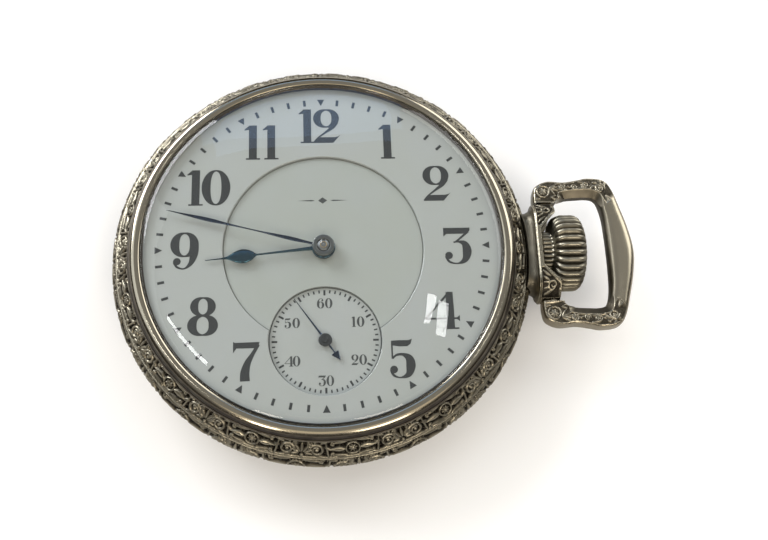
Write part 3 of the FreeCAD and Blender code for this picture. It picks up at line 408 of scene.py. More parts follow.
def volute(cu, cv, k, turn, flip):
    """A scroll round a boss, with leaves breaking from its back."""
    strokes = [(curl(cu, cv, 0.74 * k, 0.30 * k, turn, flip * 1.35, 0.18 * k, 0.11 * k), 1.0),
               (boss(cu, cv, 0.24 * k), 1.0)]
    for i in range(4):
        a = turn + flip * (0.5 + 0.75 * i)
        strokes.append((leaf_stroke(cu + 0.80 * k * math.cos(a), cv + 0.80 * k * math.sin(a), a + flip * 0.5,
                                    0.70 * k, 0.20 * k, flip * 0.9), 0.85))
    return strokes


def palmette(cu, base, k):
    """A fan of lobes rising from a small boss at one edge of the band."""
    strokes = [(boss(cu, base + 0.16 * k, 0.24 * k), 1.0)]
    start = 0.3 * k
    for i in range(-3, 4):
        a = math.pi / 2 - i * 0.44
        reach = (1.5 - 0.14 * abs(i)) * k
        strokes.append((leaf_stroke(cu + start * math.cos(a), base + 0.25 * k + start * math.sin(a), a,
                                    reach - start, 0.17 * k, -0.22 * i), 0.95))
    return strokes


TILE_WIDE = 1.95
GRAINS, GRAIN_HIGH = 400, 0.42


def scroll_tile(u, v, length, width):
    """One mirrored repeat: flower, smooth lens, bar, scroll, fan. Heights run from 0 to 1, and its
    marks grow with the band from where it is TILE_WIDE."""
    k = width / TILE_WIDE
    mid, half = width / 2, length / 2
    marks = rosette(0, mid, k)
    for side in (1, -1):
        ahead = 0 if side > 0 else math.pi
        lens = [(side * along * k, mid, w * k)
                for along, w in ((0.8, 0.12), (1.2, 0.34), (1.6, 0.3), (2.2, 0.05))]
        bar = straight(side * 2.34 * k, 0.12 * k, side * 2.62 * k, width - 0.12 * k, 0.14 * k, 0.09 * k)
        marks += [(smooth_path(lens, 16), 1.0), (bar, 0.95)]
        marks += [(curl(side * 1.95 * k, mid + edge * 0.66 * k, 0.22 * k, 0.06 * k, side * edge,
                        side * edge * 1.1, 0.11 * k, 0.07 * k, 26), 0.95) for edge in (1, -1)]
        marks += volute(side * 3.45 * k, mid - 0.08 * k, k, ahead, side)
        # leaves: place along and across, direction, length, half width, bend, height
        for along, across, angle, long, w, bend, high in (
                (0.45, 0.82, ahead, 1.5, 0.20, -0.25, 0.85), (0.45, -0.82, ahead, 1.5, 0.20, 0.25, 0.85),
                (2.8, 0.9, ahead + side * 0.2, 1.0, 0.14, -0.5, 0.8),
                (2.75, -0.85, ahead, 1.1, 0.13, 0.4, 0.8)):
            leaf = leaf_stroke(side * along * k, mid + across * k, angle, long * k, w * k, side * bend)
            marks.append((leaf, high))
        marks.append((curl(side * (half - 0.72 * k), width - 0.45 * k, 0.30 * k, 0.08 * k, 1.0, side * 1.2,
                           0.10 * k, 0.07 * k, 30), 0.9))
    marks += palmette(half, 0.1 * k, k)
    field = np.zeros_like(u)
    for points, high in marks:
        for shift in (-length, 0, length):
            moved = points + np.array([shift, 0, 0])
            near = (moved[:, 0] > -1.5) & (moved[:, 0] < length + 1.5)
            stroke(field, u, v, moved[near], high)
    rng = np.random.default_rng(11)
    seeds = np.stack([rng.random(GRAINS) * length, rng.random(GRAINS) * width,
                      np.full(GRAINS, 0.085 * k)], -1)
    ground = np.zeros_like(u)
    stroke(ground, u, v, seeds)
    return np.where(field > 0.3, field, np.maximum(field, ground * GRAIN_HIGH))


def borders(v, width):
    """Plain raised lines along both edges of a band."""
    edge = 0.07
    low = unit(1 - ((v - edge) / edge) ** 2)
    high = unit(1 - ((width - v - edge) / edge) ** 2)
    return np.sqrt(np.maximum(low, high))


def arc_lengths(points):
    """How far along a chain each of its points lies."""
    steps = np.linalg.norm(np.diff(points, axis=0), axis=1)
    return np.concatenate([[0], np.cumsum(steps)])


def resample(points, count):
    """The same chain with evenly spaced points."""
    s = arc_lengths(points)
    at = np.linspace(0, s[-1], count)
    return np.stack([np.interp(at, s, points[:, i]) for i in range(points.shape[1])], -1)


def engraved_ring(name, front, back, tiles, per_tile, rows, depth, body, nodes=(), beads=False):
    """A closed ring about the dial's axis whose front carries a repeated engraved tile.
    front and back are (r, z) chains."""
    face = resample(np.asarray(front, float), rows)
    along = np.gradient(face, axis=0)
    along /= np.linalg.norm(along, axis=1)[:, None]
    normal = np.stack([along[:, 1], -along[:, 0]], -1)
    if normal[rows // 2, 0] < 0:
        normal = -normal
    width = arc_lengths(face)[-1]
    length = TAU * face[:, 0].mean() / tiles
    u, v = np.meshgrid(np.arange(per_tile) * length / per_tile, np.linspace(0, width, rows),
                       indexing="ij")
    cell = np.maximum(scroll_tile(u, v, length, width), borders(v, width))
    if beads:
        stroke(cell, u, v, [(c, width - 0.30, 0.14) for c in np.arange(0, length, length / 40)])
    total = tiles * per_tile
    height = unit(np.tile(cell, (tiles, 1)))
    height[:, 0] = height[:, -1] = 1.0
    sunk = (height - 1) * depth
    r = face[:, 0] + sunk * normal[:, 0]
    z = face[:, 1] + sunk * normal[:, 1]
    rear = np.asarray(back, float)
    r = np.hstack([r, np.tile(rear[:, 0], (total, 1))])
    z = np.hstack([z, np.tile(rear[:, 1], (total, 1))])
    obj = make_object(name, turned(r, z, total), grid_faces(total, r.shape[1]), engraved_case, body,
                      "case_metal", nodes)
    patina_and_painted_shade = np.hstack([height, np.ones((total, len(rear)))])
    set_patina_and_painted_shade(obj, patina_and_painted_shade.reshape(-1))


# ---- case ----
def build_bezel():
    """A polished rim over the crystal's edge, above a sloping engraved skirt."""
    turn = np.radians(np.linspace(122, -14, 34))
    crest = np.stack([22.12 + 0.93 * np.cos(turn), 9.055 + 0.93 * np.sin(turn)], -1)
    ridge = smooth_path([(23.04, 8.80), (23.11, 8.86), (23.20, 8.84), (23.26, 8.70)], 4)[1:]
    under = np.array([(23.10, 8.56), (23.0, 8.62), (22.6, 9.05), (21.3, 9.05), (21.3, 9.5), (21.67, 9.5)])
    rim = revolve("bezel_rim", np.vstack([crest, ridge, under]), RIM_SEGMENTS, polished_case, "bezel",
                  "case_metal")
    # The rim's outer slope is stored darker, a painted dark reflection; the groove where the crest meets the
    # ridge, the ridge and the underside are stored darker as painted shade.
    painted_dark_reflection = 0.22 + 0.78 * unit((np.degrees(turn) - 28) / 30)
    dark = np.concatenate([painted_dark_reflection, np.full(len(ridge), 0.45), np.full(len(under), 0.3)])
    dark[len(crest) - 1] = 0.1
    set_patina_and_painted_shade(rim, np.tile(dark, RIM_SEGMENTS))
    engraved_ring("bezel_skirt", [(24.75, 6.92), (24.45, 7.38), (24.05, 7.84), (23.66, 8.26), (23.22, 8.66)],
                  [(23.08, 8.5), (23.08, 6.92)], 13, 228, 30, CASE_DEEP, "bezel", ["front_bezel"])


def build_band():
    """The engraved centre band with the collars that carry bezel and back."""
    engraved_ring("band_engraved",
                  [(25.02, 4.22), (25.40, 4.75), (25.54, 5.3), (BAND_R - 0.01, 5.55), (25.42, 6.15),
                   (25.12, 6.55), (24.86, 6.78)],
                  [(24.4, 6.6), (24.4, 4.4)], 11, 264, 31, CASE_DEEP, "case", ["case_centre_band"],
                  beads=True)
    body = rounded([
        (21.6, 3.05), (23.2, 3.05), (23.2, 4.25), (24.95, 4.25), (24.98, 5.5), (24.8, 6.76),
        (23.0, 6.76), (23.0, 8.5), (22.05, 8.5), (22.05, 7.3), (21.6, 7.3), (21.6, 5.62),
        (21.25, 5.62), (21.25, 5.3), (21.6, 5.3),
    ], 0.07, 3)
    revolve("band_body", body, CASE_SEGMENTS, satin_case_painted_shade, "case", "case_metal")


def build_back():
    """A polished shallow bowl with an engraved border."""
    engraved_ring("back_border", [(22.35, 2.05), (23.0, 2.42), (23.7, 2.86), (24.25, 3.32), (24.86, 4.06)],
                  [(24.3, 4.08), (23.4, 3.3), (22.4, 2.45)], 11, 250, 28, BACK_DEEP, "back")
    outside = [(0.001, 0.0), (7.0, 0.0), (14.0, 0.0), (16.0, 0.11), (18.0, 0.45), (20.0, 1.03),
               (21.5, 1.62), (22.3, 2.03)]
    inside = [(23.3, 2.6), (24.5, 3.9), (24.6, 4.08), (23.26, 4.08), (23.26, 2.97), (22.4, 2.76),
              (21.0, 2.08), (19.0, 1.32), (16.5, 0.78), (14.0, 0.6), (7.0, 0.6), (0.001, 0.6)]
    outline = np.vstack([smooth_path(outside, 6), np.array(inside)])
    bowl = revolve("back_bowl", outline, CASE_SEGMENTS, polished_case, "back", "case_metal", ["case_back"])
    set_patina_and_painted_shade(bowl)


def build_crystal():
    """A domed glass with a quick bevelled edge."""
    top = [(0.001, CRYSTAL_TOP), (5.0, CRYSTAL_TOP - 0.07), (10.0, CRYSTAL_TOP - 0.28),
           (15.0, CRYSTAL_TOP - 0.66), (18.6, CRYSTAL_TOP - 1.03), (20.4, CRYSTAL_TOP - 1.27),
           (21.15, CRYSTAL_TOP - 1.48), (21.55, CRYSTAL_TOP - 1.75)]
    under = [(21.6, 9.6), (18.0, 9.94), (12.0, 10.38), (6.0, 10.65), (0.001, 10.74)]
    outline = np.vstack([smooth_path(top, 20), smooth_path(under, 6)])
    revolve("crystal_dome", outline, GLASS_SEGMENTS, glass, "bezel", "crystal_glass", ["crystal"])


# ---- bow, pendant and crown ----
BOW_STATIONS = [
    # outer x, outer y, inner x, inner y, squareness of the section
    (26.43, 6.46, 29.20, 6.46, 6.0),
    (26.44, 7.55, 29.30, 6.72, 6.0),
    (26.80, 8.74, 29.64, 7.00, 6.0),
    (28.30, 9.46, 30.20, 7.13, 5.5),
    (30.50, 9.34, 31.10, 7.25, 5.5),
    (32.20, 9.60, 32.20, 7.31, 5.5),
    (33.60, 9.86, 33.30, 7.34, 5.0),
    (35.65, 9.56, 34.25, 7.08, 4.5),
    (36.66, 8.30, 34.78, 6.20, 3.6),
    (37.50, 5.72, 35.06, 4.60, 3.0),
    (38.22, 2.96, 35.17, 2.40, 3.0),
    (38.60, 0.00, 35.20, 0.00, 3.0),
]
BOW_THICK = 2.28
LEG_RUN = 10.6
INNER_SLOPE = 0.75
OUTER_BEVEL, OUTER_SLOPE = 0.4, 0.8


def leg_marks():
    """Engraving on one leg in (x, distance from the stem's axis): a flower, scrolls and leaves."""
    marks = rosette(27.75, 8.0, 1.15)
    for x, y, k, turn, flip in ((30.3, 8.75, 0.55, math.pi, 1), (31.75, 8.65, 0.55, 0, -1),
                                (33.2, 8.85, 0.6, math.pi, 1), (35.05, 8.35, 0.9, 0, 1)):
        marks += volute(x, y, k, turn, flip)
        marks.append((leaf_stroke(x - 1.0, y + 0.45, -0.3 * flip, 1.1, 0.15, 0.5 * flip), 0.85))
        marks.append((leaf_stroke(x - 0.9, y - 0.45, 0.2 * flip, 1.0, 0.14, -0.5 * flip), 0.85))
    marks += [(leaf_stroke(28.6, 8.5, a, 1.2, 0.16, 0), 0.9) for a in (-1.0, -0.4, 0.1, 0.5)]
    marks += [(leaf_stroke(26.7, y, a, 0.7, 0.14, 0), 0.85) for y, a in ((6.9, 0.3), (7.2, -0.4), (8.5, 0.5))]
    marks += [(leaf_stroke(28.7, 7.2, a, 0.8, 0.14, 0), 0.85) for a in (-0.5, 0.4)]
    marks += [(leaf_stroke(35.7, 7.4, a, 0.9, 0.15, 0), 0.9) for a in (-1.2, -0.7)]
    return marks


def section(width, thick, power, around):
    """Evenly spaced points of a rounded rectangle, as shares of its half width and half height."""
    phase = np.linspace(0, TAU, 721)
    c, s = np.cos(phase), np.sin(phase)
    flat = np.stack([np.sign(c) * np.abs(c) ** (2 / power) * width,
                     np.sign(s) * np.abs(s) ** (2 / power) * thick], -1)
    even = resample(flat, around + 1)[:-1]
    return even[:, 0] / width, even[:, 1] / thick


def build_bow():
    """A square-edged stirrup swept from foot to foot; its legs are engraved on both faces."""
    half = np.array(BOW_STATIONS)
    mirror = half[-2::-1] * np.array([1, -1, 1, -1, 1])
    path = smooth_path(np.vstack([half, mirror]), 26)
    count, around = len(path), 112
    outer, inner, power = path[:, :2], path[:, 2:4], path[:, 4:5]
    reach = (outer - inner) / 2
    width = np.linalg.norm(reach, axis=1) * 2
    across, up = np.zeros((count, around)), np.zeros((count, around))
    for i in range(count):
        across[i], up[i] = section(width[i], BOW_THICK, power[i, 0], around)
    spent = arc_lengths((outer + inner) / 2)
    run = np.minimum(spent, spent[-1] - spent)
    verts = np.zeros((count, around, 3))
    verts[:, :, :2] = ((outer + inner) / 2)[:, None, :] + across[:, :, None] * reach[:, None, :]
    leg = unit((LEG_RUN - run) / 0.5) * unit((run - 0.15) / 0.2)
    v = (across + 1) / 2 * width[:, None]
    bevel = 0.5 + 0.45 * unit((LEG_RUN - run) / 1.5)[:, None]
    inside = np.clip(bevel - v, 0, None) * INNER_SLOPE
    outside = np.clip(v - (width[:, None] - OUTER_BEVEL), 0, None) * OUTER_SLOPE
    past_foot = unit((run - 1.6) / 1.6)[:, None]
    top = BOW_THICK / 2 - (inside + outside) * past_foot
    height = np.minimum(np.abs(up) * BOW_THICK / 2, top)
    verts[:, :, 2] = STEM_Z + np.sign(up) * height
    mark = np.zeros_like(v)
    for points, high in leg_marks():
        stroke(mark, verts[:, :, 0], np.abs(verts[:, :, 1]), points, high)
    edge = np.minimum(v - 0.8 * unit(run - 1.8)[:, None], width[:, None] - v - 0.1)
    mark = np.where(edge < 0.2, 1.0, mark)
    ground = 0.08 + np.random.default_rng(5).random(v.shape) * 0.3
    sunk = (1 - np.maximum(mark, ground)) * (np.abs(up) > 0.8) * leg[:, None]
    verts[:, :, 2] -= np.sign(up) * sunk * MARK_DEEP
    obj = make_object("bow_stirrup", verts.reshape(-1, 3), capped_faces(count, around), bow_metal, "bow",
                      "case_metal", ["bow"])
    # The inner bevel past each foot is stored darker, a painted shade.
    sheltered = unit((bevel - v) / 0.15) * past_foot
    set_patina_and_painted_shade(obj, ((1 - 0.9 * sunk) * (1 - 0.55 * sheltered)).reshape(-1))
    for side in (1, -1):
        set_patina_and_painted_shade(pin(f"bow_stud_{'top' if side > 0 else 'low'}", (BOW_AXIS_X, side * 5.32, STEM_Z),
                       (0, side, 0), 0.9, 1.4, polished_case, "bow", "case_metal"))


def pin(name, start, direction, radius, length, material, body, slot):
    """A short round bar with softened ends."""
    axis = np.array(direction, float)
    side = np.array([0, 0, 1.0])
    other = np.cross(axis, side)
    soft = min(0.12, radius * 0.3)
    rows = [(0, radius - soft), (soft, radius), (length - soft, radius), (length, radius - soft)]
    around = 48
    phase = np.arange(around) * TAU / around
    verts = [np.array(start) + axis * d + r * (math.cos(a) * side + math.sin(a) * other)
             for d, r in rows for a in phase]
    return make_object(name, verts, capped_faces(len(rows), around), material, body, slot)


def remeshed_copy(node, voxel):
    """The node's own shape as an even mesh of small faces, in millimetres."""
    copy = bpy.data.objects.new(node + "_even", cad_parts[node].data.copy())
    modifier = copy.modifiers.new("even", "REMESH")
    modifier.mode = "VOXEL"
    modifier.voxel_size = voxel * MM
    return baked(copy)


def build_pendant():
    """The neck and its two ears; the ears' faces carry a leaf inside a plain frame."""
    near, far, outer = 26.12, 28.6, 6.3
    verts, faces = remeshed_copy("pendant", 0.07)
    x, y, z = verts.T
    side = np.abs(y)
    mark = np.zeros(len(verts))
    # leaves: x, distance from the stem's axis, direction, length, half width, bend
    leaves = [(26.4, 3.1, 0.9, 1.2, 0.17, -0.4), (26.4, 5.9, -0.3, 1.6, 0.17, -0.3),
              (26.4, 4.6, 0, 0.8, 0.15, 0), (26.4, 3.9, 0.5, 0.9, 0.16, 0.3), (26.4, 5.3, -0.2, 0.7, 0.15, 0),
              (28.3, 5.2, 1.3, 0.8, 0.14, 0.4)]
    scroll = curl(27.55, 4.9, 0.62, 0.2, 2.2, 1.1, 0.16, 0.1)
    for points in [scroll, *(leaf_stroke(*leaf) for leaf in leaves)]:
        stroke(mark, x, side, points)
    high = np.abs(z - STEM_Z)
    rim = 2.6 + 1.16 * np.clip(x - 26.6, 0, None)
    edge = np.minimum(np.minimum(x - near, far - x), np.minimum(outer - side, side - rim))
    mark = np.where(edge < 0.16, 1.0, mark)
    ground = 0.05 + np.random.default_rng(6).random(len(verts)) * 0.3
    flat = (high > 1.2) * unit((side - rim) / 0.1)
    sunk = (1 - np.maximum(mark, ground)) * flat * unit((x - near) / 0.1)
    verts[:, 2] -= np.sign(z - STEM_Z) * sunk * MARK_DEEP
    obj = make_object("pendant_body", verts, faces, engraved_case, "case", "case_metal", ["pendant"])
    # The neck next to the case is stored darker, a painted shade on its polished metal.
    neck = 0.42 * unit((26.0 - x) / 0.3)
    set_patina_and_painted_shade(obj, 1 - sunk - neck)


def build_crown():
    """A barrel of rounded ribs with a domed end, above a finely ribbed skirt."""
    ribs, rib_deep = 30, 0.42
    skirt_ribs, skirt_deep, skirt_end = 28, 0.26, 28.04
    barrel = smooth_path([(28.05, 3.5), (28.14, 4.0), (28.45, 4.42), (29.2, 4.74), (30.0, 4.75),
                          (30.8, 4.74), (31.35, 4.52), (31.75, 3.95), (32.0, 3.1), (32.2, 1.9),
                          (32.3, 0.9), (32.3, 0.02)], 7)
    foot = [(26.9, 0.75), (26.75, 0.85), (26.75, 2.6), (26.82, 2.74), (27.2, 2.75), (27.7, 2.75),
            (28.05, 2.75)]
    chain = np.vstack([foot, barrel, [(31.15, 0.02), (31.15, 0.74)]])
    count = 1080
    phase = np.arange(count) * TAU / count
    rib = 1 - np.abs(np.cos(phase * ribs / 2))
    fine = 1 - np.abs(np.cos(phase * skirt_ribs / 2))
    x, r = chain[:, 0], chain[:, 1]
    main = unit((r - 2.6) / 1.6) * (x > skirt_end) * (r > 2.76)
    skirt = ((x < skirt_end) & (r > 2.55) & (x > 26.76)).astype(float)
    groove = rib[:, None] * main
    flute = fine[:, None] * skirt
    radius = r - rib_deep * groove - skirt_deep * flute
    verts = np.stack([np.broadcast_to(x, radius.shape), radius * np.cos(phase)[:, None],
                      STEM_Z + radius * np.sin(phase)[:, None]], -1)
    patina_and_painted_shade = unit(1 - 0.8 * groove ** 1.2 - 0.7 * flute)
    obj = make_object("crown_ribbed", verts.reshape(-1, 3), grid_faces(count, len(chain)),
                      crown_metal, "stem", "case_metal", ["crown"])
    set_patina_and_painted_shade(obj, patina_and_painted_shade.reshape(-1))


# ---- flat pieces ----
def filled(name, loops, z0, z1, soften=0.0):
    """Vertices and faces of a plate with holes: loops of (x, y) points between two levels."""
    curve = bpy.data.curves.new(name, "CURVE")
    curve.dimensions = "2D"
    curve.fill_mode = "BOTH"
    curve.extrude = (z1 - z0) / 2 * MM - soften * MM
    curve.bevel_depth = soften * MM
    curve.bevel_resolution = 3
    curve.offset = -soften * MM
    for loop in loops:
        spline = curve.splines.new("POLY")
        spline.points.add(len(loop) - 1)
        flat = np.zeros((len(loop), 4))
        flat[:, :2] = np.asarray(loop, float) * MM
        flat[:, 3] = 1
        spline.points.foreach_set("co", flat.reshape(-1))
        spline.use_cyclic_u = True
    verts, faces = baked(bpy.data.objects.new(name + "_outline", curve))
    return verts + np.array([0, 0, (z0 + z1) / 2]), faces


def dial_piece(name, loops, z0, z1, material, nodes=(), soften=0.0):
    """A plate with holes as a piece of the dial."""
    verts, faces = filled(name, loops, z0, z1, soften)
    make_object(name, verts, faces, material, *ON_DIAL, nodes, smooth=False)


def circle(r, at=(0, 0), count=360, start=0.0, end=TAU):
    """A circle, or an arc with both its ends."""
    a = np.linspace(start, end, count, endpoint=abs(end - start - TAU) > 1e-9)
    return np.stack([at[0] + r * np.cos(a), at[1] + r * np.sin(a)], -1)


def sunk_edges():
    """Where the seconds disc's circle crosses the centre disc's, seen from both."""
    d = -SECONDS_AT[1]
    cos_half = (CENTRE_R ** 2 + d * d - SECONDS_R ** 2) / (2 * CENTRE_R * d)
    half = math.acos(cos_half)
    point = (CENTRE_R * math.sin(half), -CENTRE_R * cos_half)
    turn = math.atan2(point[1] - SECONDS_AT[1], point[0])
    return half, turn


def build_dial():
    """Three enamelled discs; the centre and the seconds stand lower than the ring."""
    half, turn = sunk_edges()
    rest = {"start": -math.pi / 2 + half, "end": 1.5 * math.pi - half}
    big = circle(CENTRE_R, count=600, **rest)
    far = circle(SECONDS_R, SECONDS_AT, start=math.pi - turn, end=TAU + turn, count=240)
    near = circle(SECONDS_R, SECONDS_AT, start=math.pi - turn, end=turn, count=160)
    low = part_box("dial_outer_ring")[0][2] / MM
    dial_piece("dial_ring", [circle(DIAL_R, count=720), np.vstack([big, far[1:-1]])], low, DIAL_Z,
               dial_white, ["dial_outer_ring"], 0.14)
    dial_piece("dial_centre", [np.vstack([big, near[1:-1]]), circle(1.2, count=96)], low, CENTRE_Z,
               dial_centre_white, ["dial_centre_disc"])
    dial_piece("dial_seconds", [circle(SECONDS_R - 0.01, SECONDS_AT), circle(0.5, SECONDS_AT, 64)], low,
               SECONDS_Z, dial_white, ["dial_seconds_disc"])
    # Thin dark rings just inside the centre disc's and the seconds disc's edges, at the foot of each step,
    # are painted shade.
    line = [circle(CENTRE_R - 0.02, count=500, **rest), circle(CENTRE_R - 0.11, count=500, **rest)[::-1]]
    dial_piece("centre_step_shade", [np.vstack(line)], CENTRE_Z, CENTRE_Z + PRINT_HIGH, step_shade_grey)
    dial_piece("seconds_step_shade", [circle(SECONDS_R - 0.03, SECONDS_AT), circle(SECONDS_R - 0.13, SECONDS_AT)],
               SECONDS_Z, SECONDS_Z + PRINT_HIGH, fine_ink)


# ---- numerals ----
def ribbon(points):
    """Both edges of a pen stroke through points (x, y, half width), as one loop."""
    p = smooth_path(points, 9) if len(points) > 2 else np.asarray(points, float)
    along = np.gradient(p[:, :2], axis=0)
    along /= np.linalg.norm(along, axis=1)[:, None]
    side = np.stack([-along[:, 1], along[:, 0]], -1) * p[:, 2:3]
    return np.vstack([p[:, :2] + side, (p[:, :2] - side)[::-1]])


def loop_ribbon(cx, cy, rx, ry, thin, thick):
    """An oval with thick sides: its outer and inner edges."""
    a = np.linspace(0, TAU, 72, endpoint=False)
    w = thin + (thick - thin) * np.abs(np.cos(a)) ** 1.5
    c = np.stack([cx + rx * np.cos(a), cy + ry * np.sin(a)], -1)
    n = np.stack([np.cos(a) * ry, np.sin(a) * rx], -1)
    n /= np.linalg.norm(n, axis=1)[:, None]
    return [c + n * w[:, None], c - n * w[:, None]]


HAIR = 0.02
# digit: pen strokes (x, y, half width), discs (x, y, r), ovals for loop_ribbon and polygons; one unit is
# the digit's height
GLYPHS = {
    "0": ([], [], [(0.37, 0.5, 0.255, 0.48, HAIR, 0.115)], []),
    "1": ([[(0.07, HAIR, HAIR), (0.44, HAIR, HAIR)],
           [(0.25, 0.0, 0.115), (0.25, 0.06, 0.104), (0.25, 0.5, 0.104), (0.25, 1.0, 0.104)]],
          [], [], [[(0.16, 1.0), (0.03, 0.885), (0.03, 0.855), (0.16, 0.875)]]),
    "2": ([[(0.62, 0.62, 0.09), (0.54, 0.46, 0.055), (0.36, 0.31, 0.03), (0.16, 0.15, HAIR),
            (0.05, 0.02, HAIR)]],
          [], [(0.38, 0.725, 0.245, 0.255, HAIR, 0.10)],
          [[(0.03, 0.0), (0.56, 0.0), (0.755, 0.235), (0.69, 0.185), (0.60, 0.165), (0.18, 0.165)]]),
    "3": ([[(0.70, 0.90, 0.03), (0.36, 0.61, 0.024)],
           [(0.30, 0.60, HAIR), (0.44, 0.615, 0.03), (0.59, 0.545, 0.085), (0.64, 0.34, 0.115),
            (0.57, 0.12, 0.075), (0.38, HAIR, HAIR), (0.17, 0.07, 0.03), (0.085, 0.22, 0.03)]],
          [(0.165, 0.24, 0.098)], [], [[(0.05, 1.0), (0.74, 1.0), (0.74, 0.93), (0.66, 0.835), (0.12, 0.835),
                                        (0.05, 0.76)]]),
    "4": ([[(0.665, 0.0, 0.11), (0.665, 0.06, 0.10), (0.665, 0.5, 0.098), (0.665, 0.98, 0.09)],
           [(0.66, 0.97, 0.03), (0.36, 0.64, 0.026), (0.04, 0.29, 0.022)],
           [(0.02, 0.28, 0.024), (0.89, 0.28, 0.024)], [(0.46, HAIR, HAIR), (0.87, HAIR, HAIR)]],
          [], [], [[(0.80, 0.28), (0.90, 0.36), (0.90, 0.20)]]),
    "5": ([[(0.115, 0.95, HAIR), (0.115, 0.50, HAIR)],
           [(0.115, 0.50, HAIR), (0.22, 0.59, 0.028), (0.38, 0.60, 0.04), (0.53, 0.50, 0.095),
            (0.565, 0.31, 0.115), (0.50, 0.10, 0.075), (0.31, HAIR, HAIR), (0.14, 0.075, 0.03),
            (0.07, 0.21, 0.03)]],
          [(0.145, 0.225, 0.095)], [], [[(0.10, 0.96), (0.30, 0.97), (0.52, 0.965), (0.62, 1.0), (0.58, 0.87),
                                         (0.50, 0.81), (0.30, 0.81), (0.10, 0.84)]]),
    "7": ([[(0.66, 0.92, 0.04), (0.52, 0.68, 0.05), (0.40, 0.46, 0.08), (0.335, 0.22, 0.11),
            (0.335, 0.0, 0.12)]],
          [], [], [[(0.04, 1.0), (0.09, 0.975), (0.69, 0.985), (0.64, 0.83), (0.12, 0.83), (0.04, 0.71)]]),
    "8": ([], [], [(0.38, 0.755, 0.215, 0.225, HAIR, 0.10), (0.38, 0.265, 0.262, 0.245, HAIR, 0.115)], []),
    "9": ([[(0.615, 0.66, 0.112), (0.61, 0.42, 0.105), (0.54, 0.17, 0.06), (0.38, HAIR, HAIR),
            (0.20, 0.06, 0.028), (0.115, 0.19, 0.03)]],
          [(0.19, 0.21, 0.095)], [(0.37, 0.665, 0.245, 0.313, HAIR, 0.112)], []),
}


def glyph_groups(digit):
    """Loop groups in digit heights; each group is one filled shape with its holes."""
    if digit == "6":
        return [[np.array([0.74, 1.0]) - loop for loop in group] for group in glyph_groups("9")]
    strokes, discs, ovals, polygons = GLYPHS[digit]
    groups = [[ribbon(points)] for points in strokes]
    groups += [[circle(r, (x, y), 40)] for x, y, r in discs]
    groups += [loop_ribbon(*oval) for oval in ovals]
    return groups + [[np.array(corners)] for corners in polygons]


def printed(name, groups, z, material):
    """Many filled shapes as one printed mesh."""
    verts, faces, count = [], [], 0
    for layer, group in enumerate(groups):
        v, f = filled(name, group, z, z + PRINT_HIGH + LAYER_STEP * (layer % LAYERS))
        verts.append(v)
        faces += [[count + k for k in face] for face in f]
        count += len(v)
    make_object(name, np.vstack(verts), faces, material, *ON_DIAL, smooth=False)


def digits_at(digit, x, y, high, wide=1.0):
    """One digit's loop groups in millimetres, from its lower left corner."""
    scale = np.array([high * wide, high])
    return [[loop * scale + np.array([x, y]) for loop in group] for group in glyph_groups(digit)]


def build_numbers():
    """The hours on the ring and the tens on the seconds disc."""
    groups = []
    for digit, x, y in HOUR_DIGITS:
        groups += digits_at(digit, x, y, HOUR_HIGH)
    printed("hour_numbers", groups, DIAL_Z, dial_ink)
    groups = []
    for number, (x, y) in SECOND_NUMBERS.items():
        step = 0.66 if number[0] == "1" else 0.96
        start = x - (step + 0.88) / 2
        for digit, left in zip(number, (start, start + step)):
            groups += digits_at(digit, left, y - SECOND_HIGH / 2, SECOND_HIGH, 0.96)
    printed("second_numbers", groups, SECONDS_Z, fine_ink)


def rectangle(r0, r1, half, angle, at=(0, 0), inner_half=None):
    """A radial bar as four corners."""
    c, s = math.cos(angle), math.sin(angle)
    inner_half = half if inner_half is None else inner_half
    return [(at[0] + r * c - w * s, at[1] + r * s + w * c)
            for r, w in ((r0, inner_half), (r1, half), (r1, -half), (r0, -inner_half))]


def joined_flat(name, shapes, z, material):
    """Many small printed marks as one mesh."""
    verts, faces = [], []
    for shape in shapes:
        start, n = len(verts), len(shape)
        verts += [(x, y, z) for x, y in shape] + [(x, y, z + PRINT_HIGH) for x, y in shape]
        faces.append([start + k for k in range(n)])
        faces.append([start + n + k for k in range(n)][::-1])
        for k in range(n):
            j = (k + 1) % n
            faces.append([start + k, start + n + k, start + n + j, start + j])
    make_object(name, verts, faces, material, *ON_DIAL, smooth=False)


def build_tracks():
    """Minute marks with a triangle at each hour, the seconds marks and an ornament."""
    marks = []
    for minute in range(60):
        a = math.radians(90 - 6 * minute)
        if minute % 5:
            marks.append(rectangle(*MINUTE_TRACK, 0.165, a))
        else:
            marks.append(rectangle(MINUTE_TRACK[0] - 0.02, MINUTE_TRACK[1] + 0.02, 0.44, a,
                                   inner_half=0.02))
    joined_flat("minute_marks", marks, DIAL_Z, dial_ink)
    marks = []
    for second in range(60):
        a = math.radians(90 - 6 * second)
        r0 = SECONDS_TRACK[0] if second % 5 else SECONDS_TRACK[0] - 0.27
        marks.append(rectangle(r0, SECONDS_TRACK[1], 0.085 if second % 5 else 0.12, a, SECONDS_AT))
    joined_flat("second_marks", marks, SECONDS_Z, dial_ink)
    y = 6.3
    lozenge = [(-0.55, y), (0, y + 0.42), (0.55, y), (0, y - 0.42)]
    dashes = [[(s * 0.95, y), (s * 1.3, y + 0.09), (s * 3.0, y), (s * 1.3, y - 0.09)] for s in (-1, 1)]
    joined_flat("dial_ornament", [lozenge, *dashes], CENTRE_Z, fine_ink)


